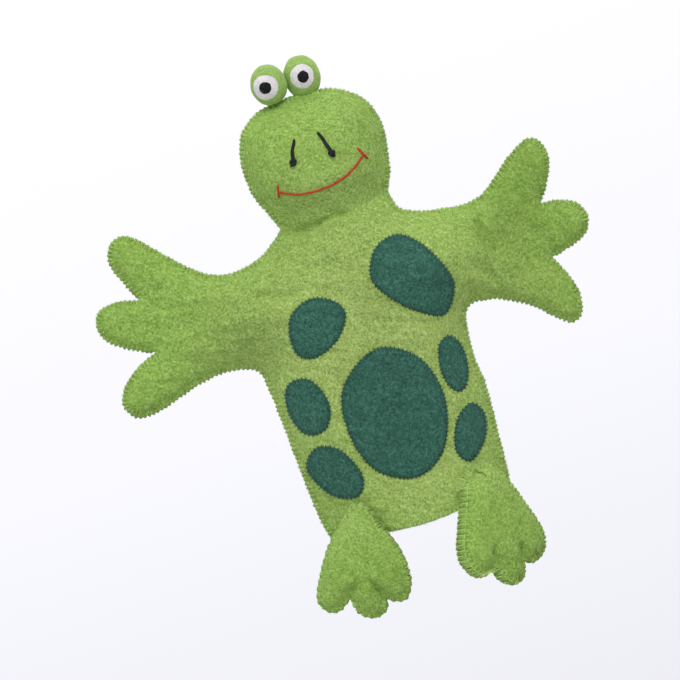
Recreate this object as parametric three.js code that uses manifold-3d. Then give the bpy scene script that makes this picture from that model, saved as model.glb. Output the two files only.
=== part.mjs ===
// A felt glove puppet in the shape of a frog, 302 mm tall and 268 mm across the arms.
// A front and a back panel of wool felt are whip-stitched together round one outline and stay
// open along the hem for the hand. The head is stuffed round a finger channel, the sleeves are
// open to the chest, and two stuffed feet hang from the front panel by their tops.
//
// Frame: millimetres, +Z up the body, -Y is the front, the origin is the middle of the hand
// opening. "left" is the -X side. The felt bends at the neck, the shoulders and the wrists, so
// the panels are divided there, with room for the bend cut on both sides of each hinge.

import * as THREE from 'three';
import { mergeVertices } from 'three/addons/utils/BufferGeometryUtils.js';
import Module from 'manifold-3d';

const wasm = await Module();
wasm.setup();
const { Manifold } = wasm;

// ---------------------------------------------------------------- driving dimensions

const FELT = 3.0; // thickness of the body felt
const SPOT_FELT = 1.6; // thickness of the dark spots
const GAP = 0.3; // clearance between pieces that touch
const THREAD = 0.8; // thickness of the line of whip stitches outside an edge
const CELL = 11; // facet size of the crowned felt
const CURVE_STEP = 8; // length of a straight step along a curved edge
const SEAM = 2.5; // width of the strip where the two layers lie flat together
const FAR = 400; // longer than anything here

const NECK = { x: -1, z: 160, radius: 40, tilt: 10 };
const CREASE = { z: 171.2, forward: 25, back: 15 };
const SHOULDERS = {
  left: { side: -1, x: -68, z: 131.5 },
  right: { side: 1, x: 70, z: 127.5 },
};
const SHOULDER_RADIUS = 18; // the sleeve's end turns in the torso on this radius
const SLEEVE_HALF = 29.5; // half the height of the sleeve there, with its stitches
const SHOULDER_SWING = 20;
const WRISTS = { left: -86, right: 84 };
const WRIST = { forward: 45, back: 15 };
const BEND_MARGIN = 1.5; // degrees of room beyond each limit
const UNDERARM_Z = 130; // the sleeve seams are above this on top and below it underneath

const EYE = { width: 18.9, height: 21.8, seat: 237 };
const EYES = {
  left: { at: [-9.7, -6, 243.9], turn: -6.5 },
  right: { at: [8.2, 1, 244.2], turn: 1.5 },
};
const WHITE = { radius: 6.9, thickness: 1.0 };
const PUPIL = { radius: 3.1, thickness: 0.8 };

const FINGER = { x: 2, radius: 9.5, top: 206 }; // the channel in the head stuffing

// Half the hollow depth and the rise width of the crown, at stations up the trunk and out
// along the arms.
const CHEST = { depth: 20, rise: 34 };
const NECKLINE = { depth: 12.5, rise: 28 };
const FACE = { depth: 21, rise: 30 };
const SLEEVE = { depth: 8.5, rise: 23 };
const PAW = { depth: 2.6, rise: 9 };
const FOOT_CROWN = { depth: 5.6, rise: 11 };

// ---------------------------------------------------------------- outlines, [x, z]

// The sewn edge, from the left end of the hem up over the head to the right end. Each list is
// one smooth stretch, and the stretches meet in corners.
const SEWN_STRETCHES = [
  [[-51, 2], [-54.6, 15], [-56.7, 40], [-58.1, 72], [-59.6, 93], [-61.5, 101.5], [-66.6, 105.4],
    [-79, 107.6], [-94, 105.7], [-110.9, 100.6], [-124.5, 98], [-132.6, 101], [-135.5, 108.5],
    [-131.6, 116.7], [-122.2, 123.9], [-110.5, 129]],
  [[-110.5, 129], [-121.2, 133.7], [-131.7, 140.8], [-136.3, 150], [-132.9, 158.4],
    [-123, 160.5], [-110.3, 157.8]],
  [[-110.3, 157.8], [-115.3, 168.7], [-119.4, 181.5], [-116.6, 190], [-110, 193],
    [-102.7, 189.9], [-91.3, 177.7], [-79.2, 165.4], [-67.9, 158], [-57, 156.4], [-44, 158.9],
    [-34, 164.6], [-27.5, 170.5]],
  [[-27.5, 170.5], [-31.7, 180.8], [-35.7, 190.8], [-37.1, 203], [-35.8, 214.6], [-31, 225.5],
    [-21.1, 232.7], [-8, 235.4], [10, 235.5], [22, 232.9], [31.1, 227.4], [38.2, 219],
    [41.1, 206], [39.7, 193.1], [36.9, 180.9], [33, 172.3]],
  [[33, 172.3], [33.9, 167.1], [36.8, 161], [46.2, 156.8], [58.1, 154.4], [69.5, 153.2],
    [79, 154.9], [88, 161], [98, 169], [106.5, 174.2], [113.4, 175.6], [118.4, 170.4],
    [119.2, 161], [113.7, 149.3], [107.8, 141]],
  [[107.8, 141], [117, 139.9], [126, 135.4], [129.7, 127], [125.7, 118.7], [115.9, 114.5],
    [105, 112]],
  [[105, 112], [110.1, 100.9], [113, 89.5], [110.8, 79], [104.6, 76.3], [97.5, 80.9],
    [87.4, 90.8], [77.1, 97.2], [68.5, 100.8], [60, 102.2], [53.8, 100], [50.9, 91.6],
    [49.5, 75], [50.7, 58], [49.2, 34], [47.7, 12], [46, 2]],
];
const HEM = [[46, 2], [20, 0.6], [-2, -0.6], [-24, 0.8], [-51, 2]];

// The dark spots, each one closed smooth curve.
const SPOTS = {
  spot_belly: [[-26.3, 56], [-21.9, 80.3], [0.5, 94.5], [20.9, 83.3], [27.4, 59], [18.8, 34],
    [1, 23.9], [-18.5, 33.6]],
  spot_chest_right: [[9.9, 132], [16.8, 144.9], [29.8, 148.6], [40.6, 140.2], [48.7, 124.9],
    [50.4, 112.7], [40.5, 100.6], [25.1, 108.7], [13.9, 121]],
  spot_chest_left: [[-40.5, 112], [-36.6, 124.5], [-24.6, 130.2], [-13.1, 125.9], [-8.7, 117],
    [-16.6, 105.7], [-29.6, 100.1], [-38.4, 103.1]],
  spot_side_left: [[-53.5, 77], [-50.7, 89.1], [-43, 92], [-35.9, 88.2], [-31.5, 75],
    [-35.7, 63.8], [-43.4, 61.3], [-50.1, 65.2]],
  spot_hip_left: [[-53.5, 45.5], [-45, 54.6], [-33.4, 49.6], [-26.6, 35], [-29, 25.9],
    [-35.8, 23.6], [-46.7, 29.8]],
  spot_side_right: [[29.9, 73], [32.7, 85.4], [39.5, 89.4], [44.4, 83.2], [44.6, 71.1],
    [40.7, 62.1], [35.8, 59.6], [31.6, 64.1]],
  spot_hip_right: [[24.4, 31], [29.5, 45.2], [39.5, 52], [45, 44.9], [42.6, 34.1], [35.7, 26],
    [29.2, 23.3]],
};

// Each foot in its own flat plane, measured from the middle of its sewn top. yaw turns it to
// lie against the rounded chest.
const FEET = {
  left: {
    hinge: [-35.8, -18.9, 20],
    yaw: -16,
    outline: [
      [[0, 0.3], [-7, -5.8], [-13, -11.2], [-19.5, -18.2], [-26.5, -28.4], [-31.6, -38],
        [-32.6, -44], [-28.8, -49.6], [-22.5, -50.8], [-15, -46]],
      [[-15, -46], [-13.6, -54.6], [-5.5, -59.9], [1.8, -57.4], [3.8, -51.4]],
      [[3.8, -51.4], [7.6, -54.4], [14, -54.8], [18.6, -49], [20.2, -40.5], [18.6, -27.5],
        [14.5, -17], [9.6, -7.5], [5.4, -1.2], [0, 0.3]],
    ],
    stuffing: [[0, -5], [-9, -14], [-21, -30], [-25, -42], [-14, -38], [-6, -52], [1, -44],
      [12, -48], [14, -34], [9, -17]],
  },
  right: {
    hinge: [32, -17.5, 20.2],
    yaw: 26,
    outline: [
      [[0, 0.2], [-8.4, -2.5], [-15.1, -8.4], [-20.4, -18.5], [-25.7, -30], [-29.3, -38.5],
        [-29.7, -46.5], [-25.1, -54.6], [-18.8, -56.4], [-13.2, -54.6]],
      [[-13.2, -54.6], [-11.3, -61], [-4.2, -65.8], [3.1, -63.4], [5.6, -56]],
      [[5.6, -56], [11, -58], [17.3, -55.6], [21.5, -49.5], [21.3, -40], [18.4, -27],
        [14.2, -14.5], [9.4, -5.4], [4.2, -0.6], [0, 0.2]],
    ],
    stuffing: [[0, -5], [-9.4, -10], [-19.9, -28], [-23, -46], [-10.5, -42], [-4.2, -58],
      [2.1, -48], [12.5, -50], [15.7, -38], [8.4, -14]],
  },
};
const FOOT_SET = 7; // the foot's middle plane stands this far in front of its sewn top

const HEAD_STUFFING = [[-24, 181], [-30.5, 194], [-32, 207], [-27, 220], [-16, 228.5],
  [2, 231], [19, 229], [30, 221.5], [36, 206], [33.5, 191.5], [28, 181], [2, 178.5]];
const MOUTH = [[-22.8, 189.1], [-14, 184.7], [-2.1, 183.1], [9.8, 184.5], [18.7, 188.2],
  [26.6, 194.1]];
const MOUTH_ENDS = [[[-23.1, 186.1], [-21.7, 192.4]], [[27.9, 191], [24, 198.1]]];
const MOUTH_THREAD = 0.7; // radius
const NOSTRILS = {
  left: [[-6.1, 212.2], [-8.8, 207], [-10.6, 200.1]],
  right: [[6.9, 211.9], [8.8, 206.6], [10.5, 199.5]],
};
const NOSTRIL_THREAD = { radius: 0.9, knot: 2 };
const THREAD_STEP = 4; // length of a straight step along a thread on the face
const FACE_CLEARANCE = 0.5; // between a thread and the facets of the face

// ---------------------------------------------------------------- materials

function felt(colour) {
  return new THREE.MeshStandardMaterial({ color: colour, roughness: 0.95, metalness: 0 });
}
const GREEN = felt(0x93ae61);
const DARK = felt(0x2f5e52);
const WHITE_WOOL = felt(0xe8e0e0);
const BLACK_WOOL = felt(0x141a1a);
const FILLING = felt(0xf2efe6);
const GREEN_THREAD = felt(0x84a54a);
const DARK_THREAD = felt(0x24493f);
const RED_THREAD = felt(0xc24a2c);

// ---------------------------------------------------------------- solids and curves

function solid(geometry) {
  geometry.deleteAttribute('normal');
  geometry.deleteAttribute('uv');
  const merged = mergeVertices(geometry, 1e-4);
  return new Manifold(new wasm.Mesh({
    numProp: 3,
    vertProperties: new Float32Array(merged.attributes.position.array),
    triVerts: new Uint32Array(merged.index.array),
  }));
}

function geometryOf(body) {
  const { vertProperties, triVerts } = body.getMesh();
  const geometry = new THREE.BufferGeometry();
  geometry.setAttribute('position', new THREE.BufferAttribute(vertProperties, 3));
  geometry.setIndex(new THREE.BufferAttribute(triVerts, 1));
  geometry.computeVertexNormals();
  return geometry;
}

const vectors = (points) => points.map(([x, z]) => new THREE.Vector2(x, z));
const rise = (degrees) => Math.tan(THREE.MathUtils.degToRad(degrees));

function sample(points, closed = false) {
  const line = closed ? [...points, points[0]] : points;
  const curve = closed
    ? new THREE.CatmullRomCurve3(points.map(([x, z]) => new THREE.Vector3(x, z, 0)), true)
    : new THREE.SplineCurve(vectors(line));
  const steps = Math.max(6, Math.round(curve.getLength() / CURVE_STEP));
  return curve.getSpacedPoints(steps).slice(0, -1).map((p) => [p.x, p.y]);
}

function joined(stretches) {
  return stretches.flatMap((stretch) => sample(stretch));
}

// A solid with this outline in the XZ plane, right through in Y.
function prism(points, depth = FAR) {
  const geometry = new THREE.ExtrudeGeometry(new THREE.Shape(vectors(points)), {
    depth,
    bevelEnabled: false,
    steps: 1,
  });
  return solid(geometry.rotateX(Math.PI / 2).translate(0, depth / 2, 0));
}

// A wedge of room on one side of a hinge line: apex on the line, opening towards y = side.
function wedge(at, side, halfAngle, along) {
  const reach = 60;
  const spread = reach * rise(halfAngle);
  const shape = new THREE.Shape(vectors([[0, 0], [side * reach, -spread], [side * reach, spread]]));
  const geometry = new THREE.ExtrudeGeometry(shape, { depth: FAR, bevelEnabled: false, steps: 1 });
  const [x, y, z] = [[1, 0, 0], [0, 1, 0], [0, 0, 1]].map((v) => new THREE.Vector3(...v));
  const basis = new THREE.Matrix4();
  if (along === 'x') {
    basis.makeBasis(y, z, x);
    geometry.translate(0, 0, -FAR / 2).applyMatrix4(basis).translate(0, 0, at);
  } else {
    basis.makeBasis(y, x.clone().negate(), z);
    geometry.applyMatrix4(basis).translate(at, 0, 0);
  }
  return solid(geometry);
}

function block(x0, x1, z0, z1) {
  const geometry = new THREE.BoxGeometry(x1 - x0, FAR, z1 - z0);
  return solid(geometry.translate((x0 + x1) / 2, 0, (z0 + z1) / 2));
}

function disc(x, z, radius) {
  return solid(new THREE.CylinderGeometry(radius, radius, FAR, 32).translate(x, 0, z));
}

function offsetLine(points, distance, closed = false) {
  const count = points.length;
  return points.map(([x, z], i) => {
    const before = points[closed ? (i + count - 1) % count : Math.max(i - 1, 0)];
    const after = points[closed ? (i + 1) % count : Math.min(i + 1, count - 1)];
    const here = new THREE.Vector2(x, z);
    const a = here.clone().sub(new THREE.Vector2(...before));
    const b = new THREE.Vector2(...after).sub(here);
    if (a.length() === 0) a.copy(b);
    if (b.length() === 0) b.copy(a);
    const normals = [a, b].map((v) => new THREE.Vector2(-v.y, v.x).normalize());
    const mitre = normals[0].clone().add(normals[1]);
    mitre.multiplyScalar(distance / (1 + normals[0].dot(normals[1])));
    return [x + mitre.x, z + mitre.y];
  });
}

// The line of whip stitches just outside a sewn edge, as a thin strip in the XZ plane.
function stitchStrip(points) {
  const inner = offsetLine(points, GAP);
  const outer = offsetLine(points, GAP + THREAD);
  return [...inner, ...outer.reverse()];
}

// ---------------------------------------------------------------- crowned felt

function distanceTo(line, x, z) {
  let nearest = Infinity;
  const point = new THREE.Vector3(x, z, 0);
  const foot = new THREE.Vector3();
  for (let i = 1; i < line.length; i += 1) {
    const step = new THREE.Line3(
      new THREE.Vector3(...line[i - 1], 0),
      new THREE.Vector3(...line[i], 0),
    );
    step.closestPointToPoint(point, true, foot);
    nearest = Math.min(nearest, foot.distanceTo(point));
  }
  return nearest;
}

function isInside(ring, x, z) {
  let inside = false;
  ring.forEach(([x1, z1], i) => {
    const [x2, z2] = ring[(i + 1) % ring.length];
    if ((z1 > z) !== (z2 > z) && x < ((x2 - x1) * (z - z1)) / (z2 - z1) + x1) inside = !inside;
  });
  return inside;
}

function crown(line, shape, x, z) {
  if (!isInside(line, x, z)) return 0;
  const in01 = THREE.MathUtils.clamp((distanceTo(line, x, z) - SEAM) / shape.rise, 0, 1);
  return shape.depth * Math.sin((in01 * Math.PI) / 2);
}

function between(a, b, t) {
  return {
    depth: THREE.MathUtils.lerp(a.depth, b.depth, t),
    rise: THREE.MathUtils.lerp(a.rise, b.rise, t),
  };
}

const sewnLine = [...joined(SEWN_STRETCHES), SEWN_STRETCHES.at(-1).at(-1)];
const hemDrop = -30; // the side seams carry on past the open hem, so the crown does too
const crownLine = [[-51, hemDrop], ...sewnLine, [46, hemDrop]];

// Half the hollow depth of the body at a point of the outline.
function bodyCrown(x, z) {
  const { smoothstep } = THREE.MathUtils;
  const out = Math.abs(x + 3);
  let shape = between(CHEST, NECKLINE, smoothstep(z, 150, CREASE.z));
  shape = between(shape, FACE, smoothstep(z, CREASE.z, 190));
  shape = between(shape, SLEEVE, smoothstep(out, 44, 72) * (z < CREASE.z + 10 ? 1 : 0));
  shape = between(shape, PAW, smoothstep(out, 72, 100));
  return crown(crownLine, shape, x, z);
}

// Everything from behind the middle plane out to a surface at this height over the crown, on
// the front (side -1) or the back (side 1).
function mound(crownAt, side, height, behind, [x0, x1, z0, z1]) {
  const cellsX = Math.round((x1 - x0) / CELL);
  const cellsZ = Math.round((z1 - z0) / CELL);
  const box = new THREE.BoxGeometry(x1 - x0, 1, z1 - z0, cellsX, 1, cellsZ);
  box.translate((x0 + x1) / 2, 0, (z0 + z1) / 2);
  const at = box.attributes.position;
  for (let i = 0; i < at.count; i += 1) {
    const outer = Math.max(crownAt(at.getX(i), at.getZ(i)) + height, GAP / 2);
    at.setY(i, side * (at.getY(i) * side > 0 ? outer : -behind));
  }
  return solid(box);
}

// A sheet of felt between two heights over the crown.
function sheet(crownAt, side, near, far, field) {
  return mound(crownAt, side, far, 1, field).subtract(mound(crownAt, side, near, 2, field));
}

// The filling of the hollow between two panels.
function filling(crownAt, field) {
  return mound(crownAt, -1, -GAP, 0, field).add(mound(crownAt, 1, -GAP, 0, field));
}

const BODY_FIELD = [-141, 138, -8, 244];
const bodyOutline = prism([...joined(SEWN_STRETCHES), ...sample(HEM)]);
const frontFelt = sheet(bodyCrown, -1, GAP / 2, GAP / 2 + FELT, BODY_FIELD);
const backFelt = sheet(bodyCrown, 1, GAP / 2, GAP / 2 + FELT, BODY_FIELD);
const frontPanel = frontFelt.intersect(bodyOutline);
const backPanel = backFelt.intersect(bodyOutline);

// ---------------------------------------------------------------- where the felt bends

function nodRoom() {
  return wedge(CREASE.z, -1, CREASE.forward / 2 + BEND_MARGIN, 'x')
    .add(wedge(CREASE.z, 1, CREASE.back / 2 + BEND_MARGIN, 'x'));
}

// The neck rocks on the torso like a rocker on a ridge: the torso falls away on both sides.
function tiltRoom() {
  const drop = 60 * rise(NECK.tilt + BEND_MARGIN);
  const ridge = prism([
    [NECK.x, NECK.z - GAP], [NECK.x + 60, NECK.z - GAP - drop], [NECK.x + 60, NECK.z + 30],
    [NECK.x - 60, NECK.z + 30], [NECK.x - 60, NECK.z - GAP - drop],
  ]);
  return ridge.intersect(disc(NECK.x, NECK.z, NECK.radius + GAP))
    .add(block(-FAR, FAR, NECK.z - GAP, FAR));
}

// Everything that a raised or lowered sleeve sweeps over beside the torso.
function shoulderRoom({ side, x, z }) {
  const reach = 2 * SLEEVE_HALF;
  const lean = -side * reach * rise(SHOULDER_SWING + BEND_MARGIN);
  const cone = prism([
    [x, z], [x + lean, z + reach], [x + side * reach, z + reach],
    [x + side * reach, z - reach], [x + lean, z - reach],
  ]);
  const beyond = [x, x + side * FAR].sort((a, b) => a - b);
  return cone.intersect(disc(x, z, SLEEVE_HALF))
    .add(disc(x, z, SHOULDER_RADIUS + GAP))
    .add(block(...beyond, -FAR, FAR));
}

function wristRoom(x) {
  return wedge(x, -1, WRIST.forward / 2 + BEND_MARGIN, 'z')
    .add(wedge(x, 1, WRIST.back / 2 + BEND_MARGIN, 'z'));
}

function armRegion(name) {
  const { side, x, z } = SHOULDERS[name];
  const wrist = WRISTS[name] - (side * GAP) / 2;
  const span = [x, wrist].sort((a, b) => a - b);
  return block(...span, 0, FAR)
    .add(disc(x, z, SHOULDER_RADIUS).subtract(block(wrist, wrist + side * FAR, 0, FAR)))
    .subtract(wristRoom(WRISTS[name]));
}

function pawRegion(name) {
  const wrist = WRISTS[name] + (SHOULDERS[name].side * GAP) / 2;
  const span = [wrist, SHOULDERS[name].side * FAR].sort((a, b) => a - b);
  return block(...span, 0, FAR).subtract(wristRoom(WRISTS[name]));
}

const REGIONS = {
  torso: block(-FAR, FAR, -FAR, FAR)
    .subtract(tiltRoom())
    .subtract(shoulderRoom(SHOULDERS.left))
    .subtract(shoulderRoom(SHOULDERS.right)),
  neck: block(-FAR, FAR, NECK.z, CREASE.z - GAP / 2)
    .intersect(disc(NECK.x, NECK.z, NECK.radius))
    .subtract(nodRoom()),
  head: block(-FAR, FAR, CREASE.z + GAP / 2, FAR)
    .intersect(block(-50, 50, 0, FAR))
    .subtract(nodRoom()),
  arm_left: armRegion('left'),
  arm_right: armRegion('right'),
  paw_left: pawRegion('left'),
  paw_right: pawRegion('right'),
};

// ---------------------------------------------------------------- the puppet

const puppet = new THREE.Group();
puppet.name = 'frog_hand_puppet';

function addPiece(name, body, material, parent = puppet) {
  const mesh = new THREE.Mesh(geometryOf(body), material);
  mesh.name = name;
  parent.add(mesh);
  return mesh;
}

function addPanels() {
  for (const [name, region] of Object.entries(REGIONS)) {
    addPiece(`${name}_front`, frontPanel.intersect(region), GREEN);
    addPiece(`${name}_back`, backPanel.intersect(region), GREEN);
  }
}

// The stitches that hold the two panels together, in one length for each edge that bends.
function addSeams() {
  const strip = prism(stitchStrip(sewnLine), 2 * FELT);
  const over = block(-FAR, FAR, UNDERARM_Z, FAR);
  const under = block(-FAR, FAR, -FAR, UNDERARM_Z);
  const addSeam = (name, region, window) => {
    const stitches = strip.intersect(REGIONS[region]).intersect(window);
    addPiece(`seam_thread_${name}`, stitches, GREEN_THREAD);
  };
  const halves = { left: block(-FAR, 0, -FAR, FAR), right: block(0, FAR, -FAR, FAR) };
  addSeam('head', 'head', block(-FAR, FAR, -FAR, FAR));
  for (const [name, half] of Object.entries(halves)) {
    addSeam(`side_${name}`, 'torso', half.intersect(under));
    addSeam(`shoulder_${name}`, 'torso', half.intersect(over));
    addSeam(`sleeve_top_${name}`, `arm_${name}`, over);
    addSeam(`sleeve_under_${name}`, `arm_${name}`, under);
    addSeam(`paw_${name}`, `paw_${name}`, half);
  }
}

function addHemStitching() {
  const hem = sample(HEM).slice(1);
  const strip = prism(stitchStrip(hem));
  addPiece('hem_thread_front', frontFelt.intersect(strip), GREEN_THREAD);
  addPiece('hem_thread_back', backFelt.intersect(strip), GREEN_THREAD);
}

// Each spot lies on the front panel inside a ring of dark whip stitches.
function addSpots() {
  const near = GAP / 2 + FELT + GAP;
  const layer = sheet(bodyCrown, -1, near, near + SPOT_FELT, BODY_FIELD);
  for (const [name, points] of Object.entries(SPOTS)) {
    const outline = sample(points, true);
    addPiece(name, layer.intersect(prism(outline)), DARK);
    const ring = prism(offsetLine(outline, GAP + THREAD, true))
      .subtract(prism(offsetLine(outline, GAP, true)));
    addPiece(`${name}_thread`, layer.intersect(ring), DARK_THREAD);
  }
}

function addHeadStuffing() {
  const outline = prism(sample(HEAD_STUFFING, true));
  const channel = solid(new THREE.CylinderGeometry(FINGER.radius, FINGER.radius, 100, 16)
    .rotateX(Math.PI / 2).translate(FINGER.x, 0, FINGER.top - 50));
  const stuffing = filling(bodyCrown, BODY_FIELD)
    .intersect(outline).intersect(REGIONS.head).subtract(channel);
  addPiece('head_stuffing', stuffing, FILLING);
}

function addEyes() {
  for (const [name, { at, turn }] of Object.entries(EYES)) {
    const ball = (grow) => solid(new THREE.SphereGeometry(1, 14, 9)
      .scale(EYE.width / 2 + grow, EYE.width / 2 + grow, EYE.height / 2 + grow));
    const rod = (radius) => solid(new THREE.CylinderGeometry(radius, radius, 40, 12)
      .translate(0, -20, 0));
    const seat = block(-FAR, FAR, -FAR, EYE.seat - at[2]);
    const inlay = ball(GAP + WHITE.thickness).subtract(ball(GAP)).intersect(rod(WHITE.radius));
    const pupilFrom = 2 * GAP + WHITE.thickness;
    const dot = ball(pupilFrom + PUPIL.thickness).subtract(ball(pupilFrom))
      .intersect(rod(PUPIL.radius));
    const socket = new THREE.Group();
    socket.position.set(...at);
    puppet.add(socket);
    addPiece(`eye_${name}`, ball(0).subtract(seat), GREEN, socket);
    const gaze = new THREE.Group();
    gaze.rotation.z = THREE.MathUtils.degToRad(turn);
    socket.add(gaze);
    addPiece(`eye_white_${name}`, inlay, WHITE_WOOL, gaze);
    addPiece(`pupil_${name}`, dot, BLACK_WOOL, gaze);
  }
}

// A thread laid on the face.
function faceThread(points, radius) {
  const lift = GAP / 2 + FELT + FACE_CLEARANCE + radius;
  const flat = new THREE.SplineCurve(vectors(points));
  const steps = Math.round(flat.getLength() / THREAD_STEP) + 1;
  const path = flat.getSpacedPoints(steps)
    .map(({ x, y: z }) => new THREE.Vector3(x, -bodyCrown(x, z) - lift, z));
  const curve = new THREE.CatmullRomCurve3(path);
  const corners = [0, 1, 2, 3, 4, 5].map((i) => (i * Math.PI) / 3);
  const ring = corners.map((a) => [radius * Math.cos(a), radius * Math.sin(a)]);
  const section = new THREE.Shape(vectors(ring));
  return solid(new THREE.ExtrudeGeometry(section, {
    steps,
    bevelEnabled: false,
    extrudePath: curve,
  }));
}

function addFace() {
  const ends = MOUTH_ENDS.map((points) => faceThread(points, MOUTH_THREAD));
  const smile = faceThread(MOUTH, MOUTH_THREAD).add(ends[0]).add(ends[1]);
  addPiece('mouth_thread', smile, RED_THREAD);
  for (const [name, points] of Object.entries(NOSTRILS)) {
    const [x, z] = points.at(-1);
    const { radius, knot } = NOSTRIL_THREAD;
    const lift = GAP / 2 + FELT + FACE_CLEARANCE + knot;
    const ball = solid(new THREE.SphereGeometry(knot, 8, 6)
      .translate(x, -bodyCrown(x, z) - lift, z));
    addPiece(`nostril_thread_${name}`, faceThread(points, radius).add(ball), BLACK_WOOL);
  }
}

function addFeet() {
  for (const [name, foot] of Object.entries(FEET)) {
    const ring = joined(foot.outline).reverse();
    const line = [...ring, ring[0]];
    const xs = ring.map(([x]) => x);
    const zs = ring.map(([, z]) => z);
    const field = [Math.min(...xs) - 2, Math.max(...xs) + 2, Math.min(...zs) - 2, 2];
    const crownAt = (x, z) => crown(line, FOOT_CROWN, x, z);
    const panel = (side) => sheet(crownAt, side, GAP / 2, GAP / 2 + FELT, field)
      .intersect(prism(ring));
    const hang = new THREE.Group();
    hang.position.set(...foot.hinge);
    hang.rotation.z = THREE.MathUtils.degToRad(foot.yaw);
    puppet.add(hang);
    const body = new THREE.Group();
    body.position.y = -FOOT_SET;
    hang.add(body);
    addPiece(`foot_${name}_front`, panel(-1), GREEN, body);
    addPiece(`foot_${name}_back`, panel(1), GREEN, body);
    const inside = prism(sample(foot.stuffing, true));
    addPiece(`foot_${name}_stuffing`, filling(crownAt, field).intersect(inside), FILLING, body);
    const strip = prism(stitchStrip(line.slice(1, -1)), 2 * FELT);
    addPiece(`foot_${name}_thread`, strip, GREEN_THREAD, body);
  }
}

addPanels();
addSeams();
addHemStitching();
addSpots();
addHeadStuffing();
addEyes();
addFace();
addFeet();

export default puppet;
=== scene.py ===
import math

import bpy
import numpy as np
from mathutils import Euler, Matrix, Vector, noise
from mathutils.geometry import delaunay_2d_cdt
from mathutils.kdtree import KDTree


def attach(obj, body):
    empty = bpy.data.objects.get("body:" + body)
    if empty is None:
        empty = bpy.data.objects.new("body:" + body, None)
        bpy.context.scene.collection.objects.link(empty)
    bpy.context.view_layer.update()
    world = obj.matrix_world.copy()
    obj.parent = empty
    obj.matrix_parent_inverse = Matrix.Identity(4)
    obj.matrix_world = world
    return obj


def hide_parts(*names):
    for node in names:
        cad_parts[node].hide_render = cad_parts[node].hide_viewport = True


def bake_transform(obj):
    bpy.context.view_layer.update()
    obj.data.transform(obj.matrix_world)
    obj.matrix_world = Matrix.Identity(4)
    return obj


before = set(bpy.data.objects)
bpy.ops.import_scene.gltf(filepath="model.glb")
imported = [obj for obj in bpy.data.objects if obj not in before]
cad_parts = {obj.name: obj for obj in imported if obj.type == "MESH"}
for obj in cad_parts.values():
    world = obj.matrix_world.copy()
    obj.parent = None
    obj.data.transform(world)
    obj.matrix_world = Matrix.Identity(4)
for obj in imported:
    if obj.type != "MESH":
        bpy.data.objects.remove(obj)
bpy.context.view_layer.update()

# A felt frog glove puppet. Lengths in this script are millimetres until a mesh is made.
# x is across, z is up and the front is -y, as in the frame.

rng = np.random.default_rng(7)

# ---------------------------------------------------------------- dimensions and outlines

FELT = 3.0
SPOT_FELT = 1.6
SEAM = 0.05  # from the middle plane to each panel along a sewn edge
GAP = 0.3
PITCH = 2.45  # between whip stitches
THREAD = 0.37  # radius of the stitching thread
STITCH_REACH = 2.7  # how far in from the edge a stitch enters the felt
SPOT_PITCH = 2.2
FINE = 0.1  # step of a curve before it is divided into stitches
PER_STITCH = 5  # points of an edge to each stitch
STITCH_PHASE = 0.4  # where the thread crosses, from 0 to 1 along each stitch's length of edge

# The sewn edge and, further on, the spots. A scratch script that measured the photo moved these
# points by up to 1.2 mm.

SEWN = [
    [(-51, 2), (-54.6, 15), (-56.7, 40), (-58.1, 72), (-59.6, 93), (-61.5, 101.5),
     (-66.6, 105.4), (-79, 107.6), (-94, 105.7), (-110.9, 100.6), (-124.5, 98), (-132.6, 101),
     (-135.5, 108.5), (-131.6, 116.7), (-122.2, 123.9), (-110.5, 129)],
    [(-110.5, 129), (-121.2, 133.7), (-131.7, 140.8), (-136.3, 150), (-132.9, 158.4),
     (-123, 160.5), (-110.3, 157.8)],
    [(-110.3, 157.8), (-115.3, 168.7), (-119.4, 181.5), (-116.6, 190), (-110, 193),
     (-102.7, 189.9), (-91.3, 177.7), (-79.2, 165.4), (-67.9, 158), (-57, 156.4), (-44, 158.9),
     (-34, 164.6), (-27.5, 170.5)],
    [(-27.5, 170.5), (-31.7, 180.8), (-35.7, 190.8), (-37.1, 203), (-35.8, 214.6), (-31, 225.5),
     (-21.1, 232.7), (-8, 235.4), (10, 235.5), (22, 232.9), (31.1, 227.4), (38.2, 219),
     (41.1, 206), (39.7, 193.1), (36.9, 180.9), (33, 172.3)],
    [(33, 172.3), (33.9, 167.1), (36.8, 161), (46.2, 156.8), (58.1, 154.4), (69.5, 153.2),
     (79, 154.9), (88, 161), (98, 169), (106.5, 174.2), (113.4, 175.6), (118.4, 170.4),
     (119.2, 161), (113.7, 149.3), (107.8, 141)],
    [(107.8, 141), (117, 139.9), (126, 135.4), (129.7, 127), (125.7, 118.7), (115.9, 114.5),
     (105, 112)],
    [(105, 112), (110.1, 100.9), (113, 89.5), (110.8, 79), (104.6, 76.3), (97.5, 80.9),
     (87.4, 90.8), (77.1, 97.2), (68.5, 100.8), (60, 102.2), (53.8, 100), (50.9, 91.6),
     (49.5, 75), (50.7, 58), (49.2, 34), (47.7, 12), (46, 2)],
]
HEM = [(46, 2), (20, 0.6), (-2, -0.6), (-24, 0.8), (-51, 2)]
HEM_DROP = -30

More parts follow.
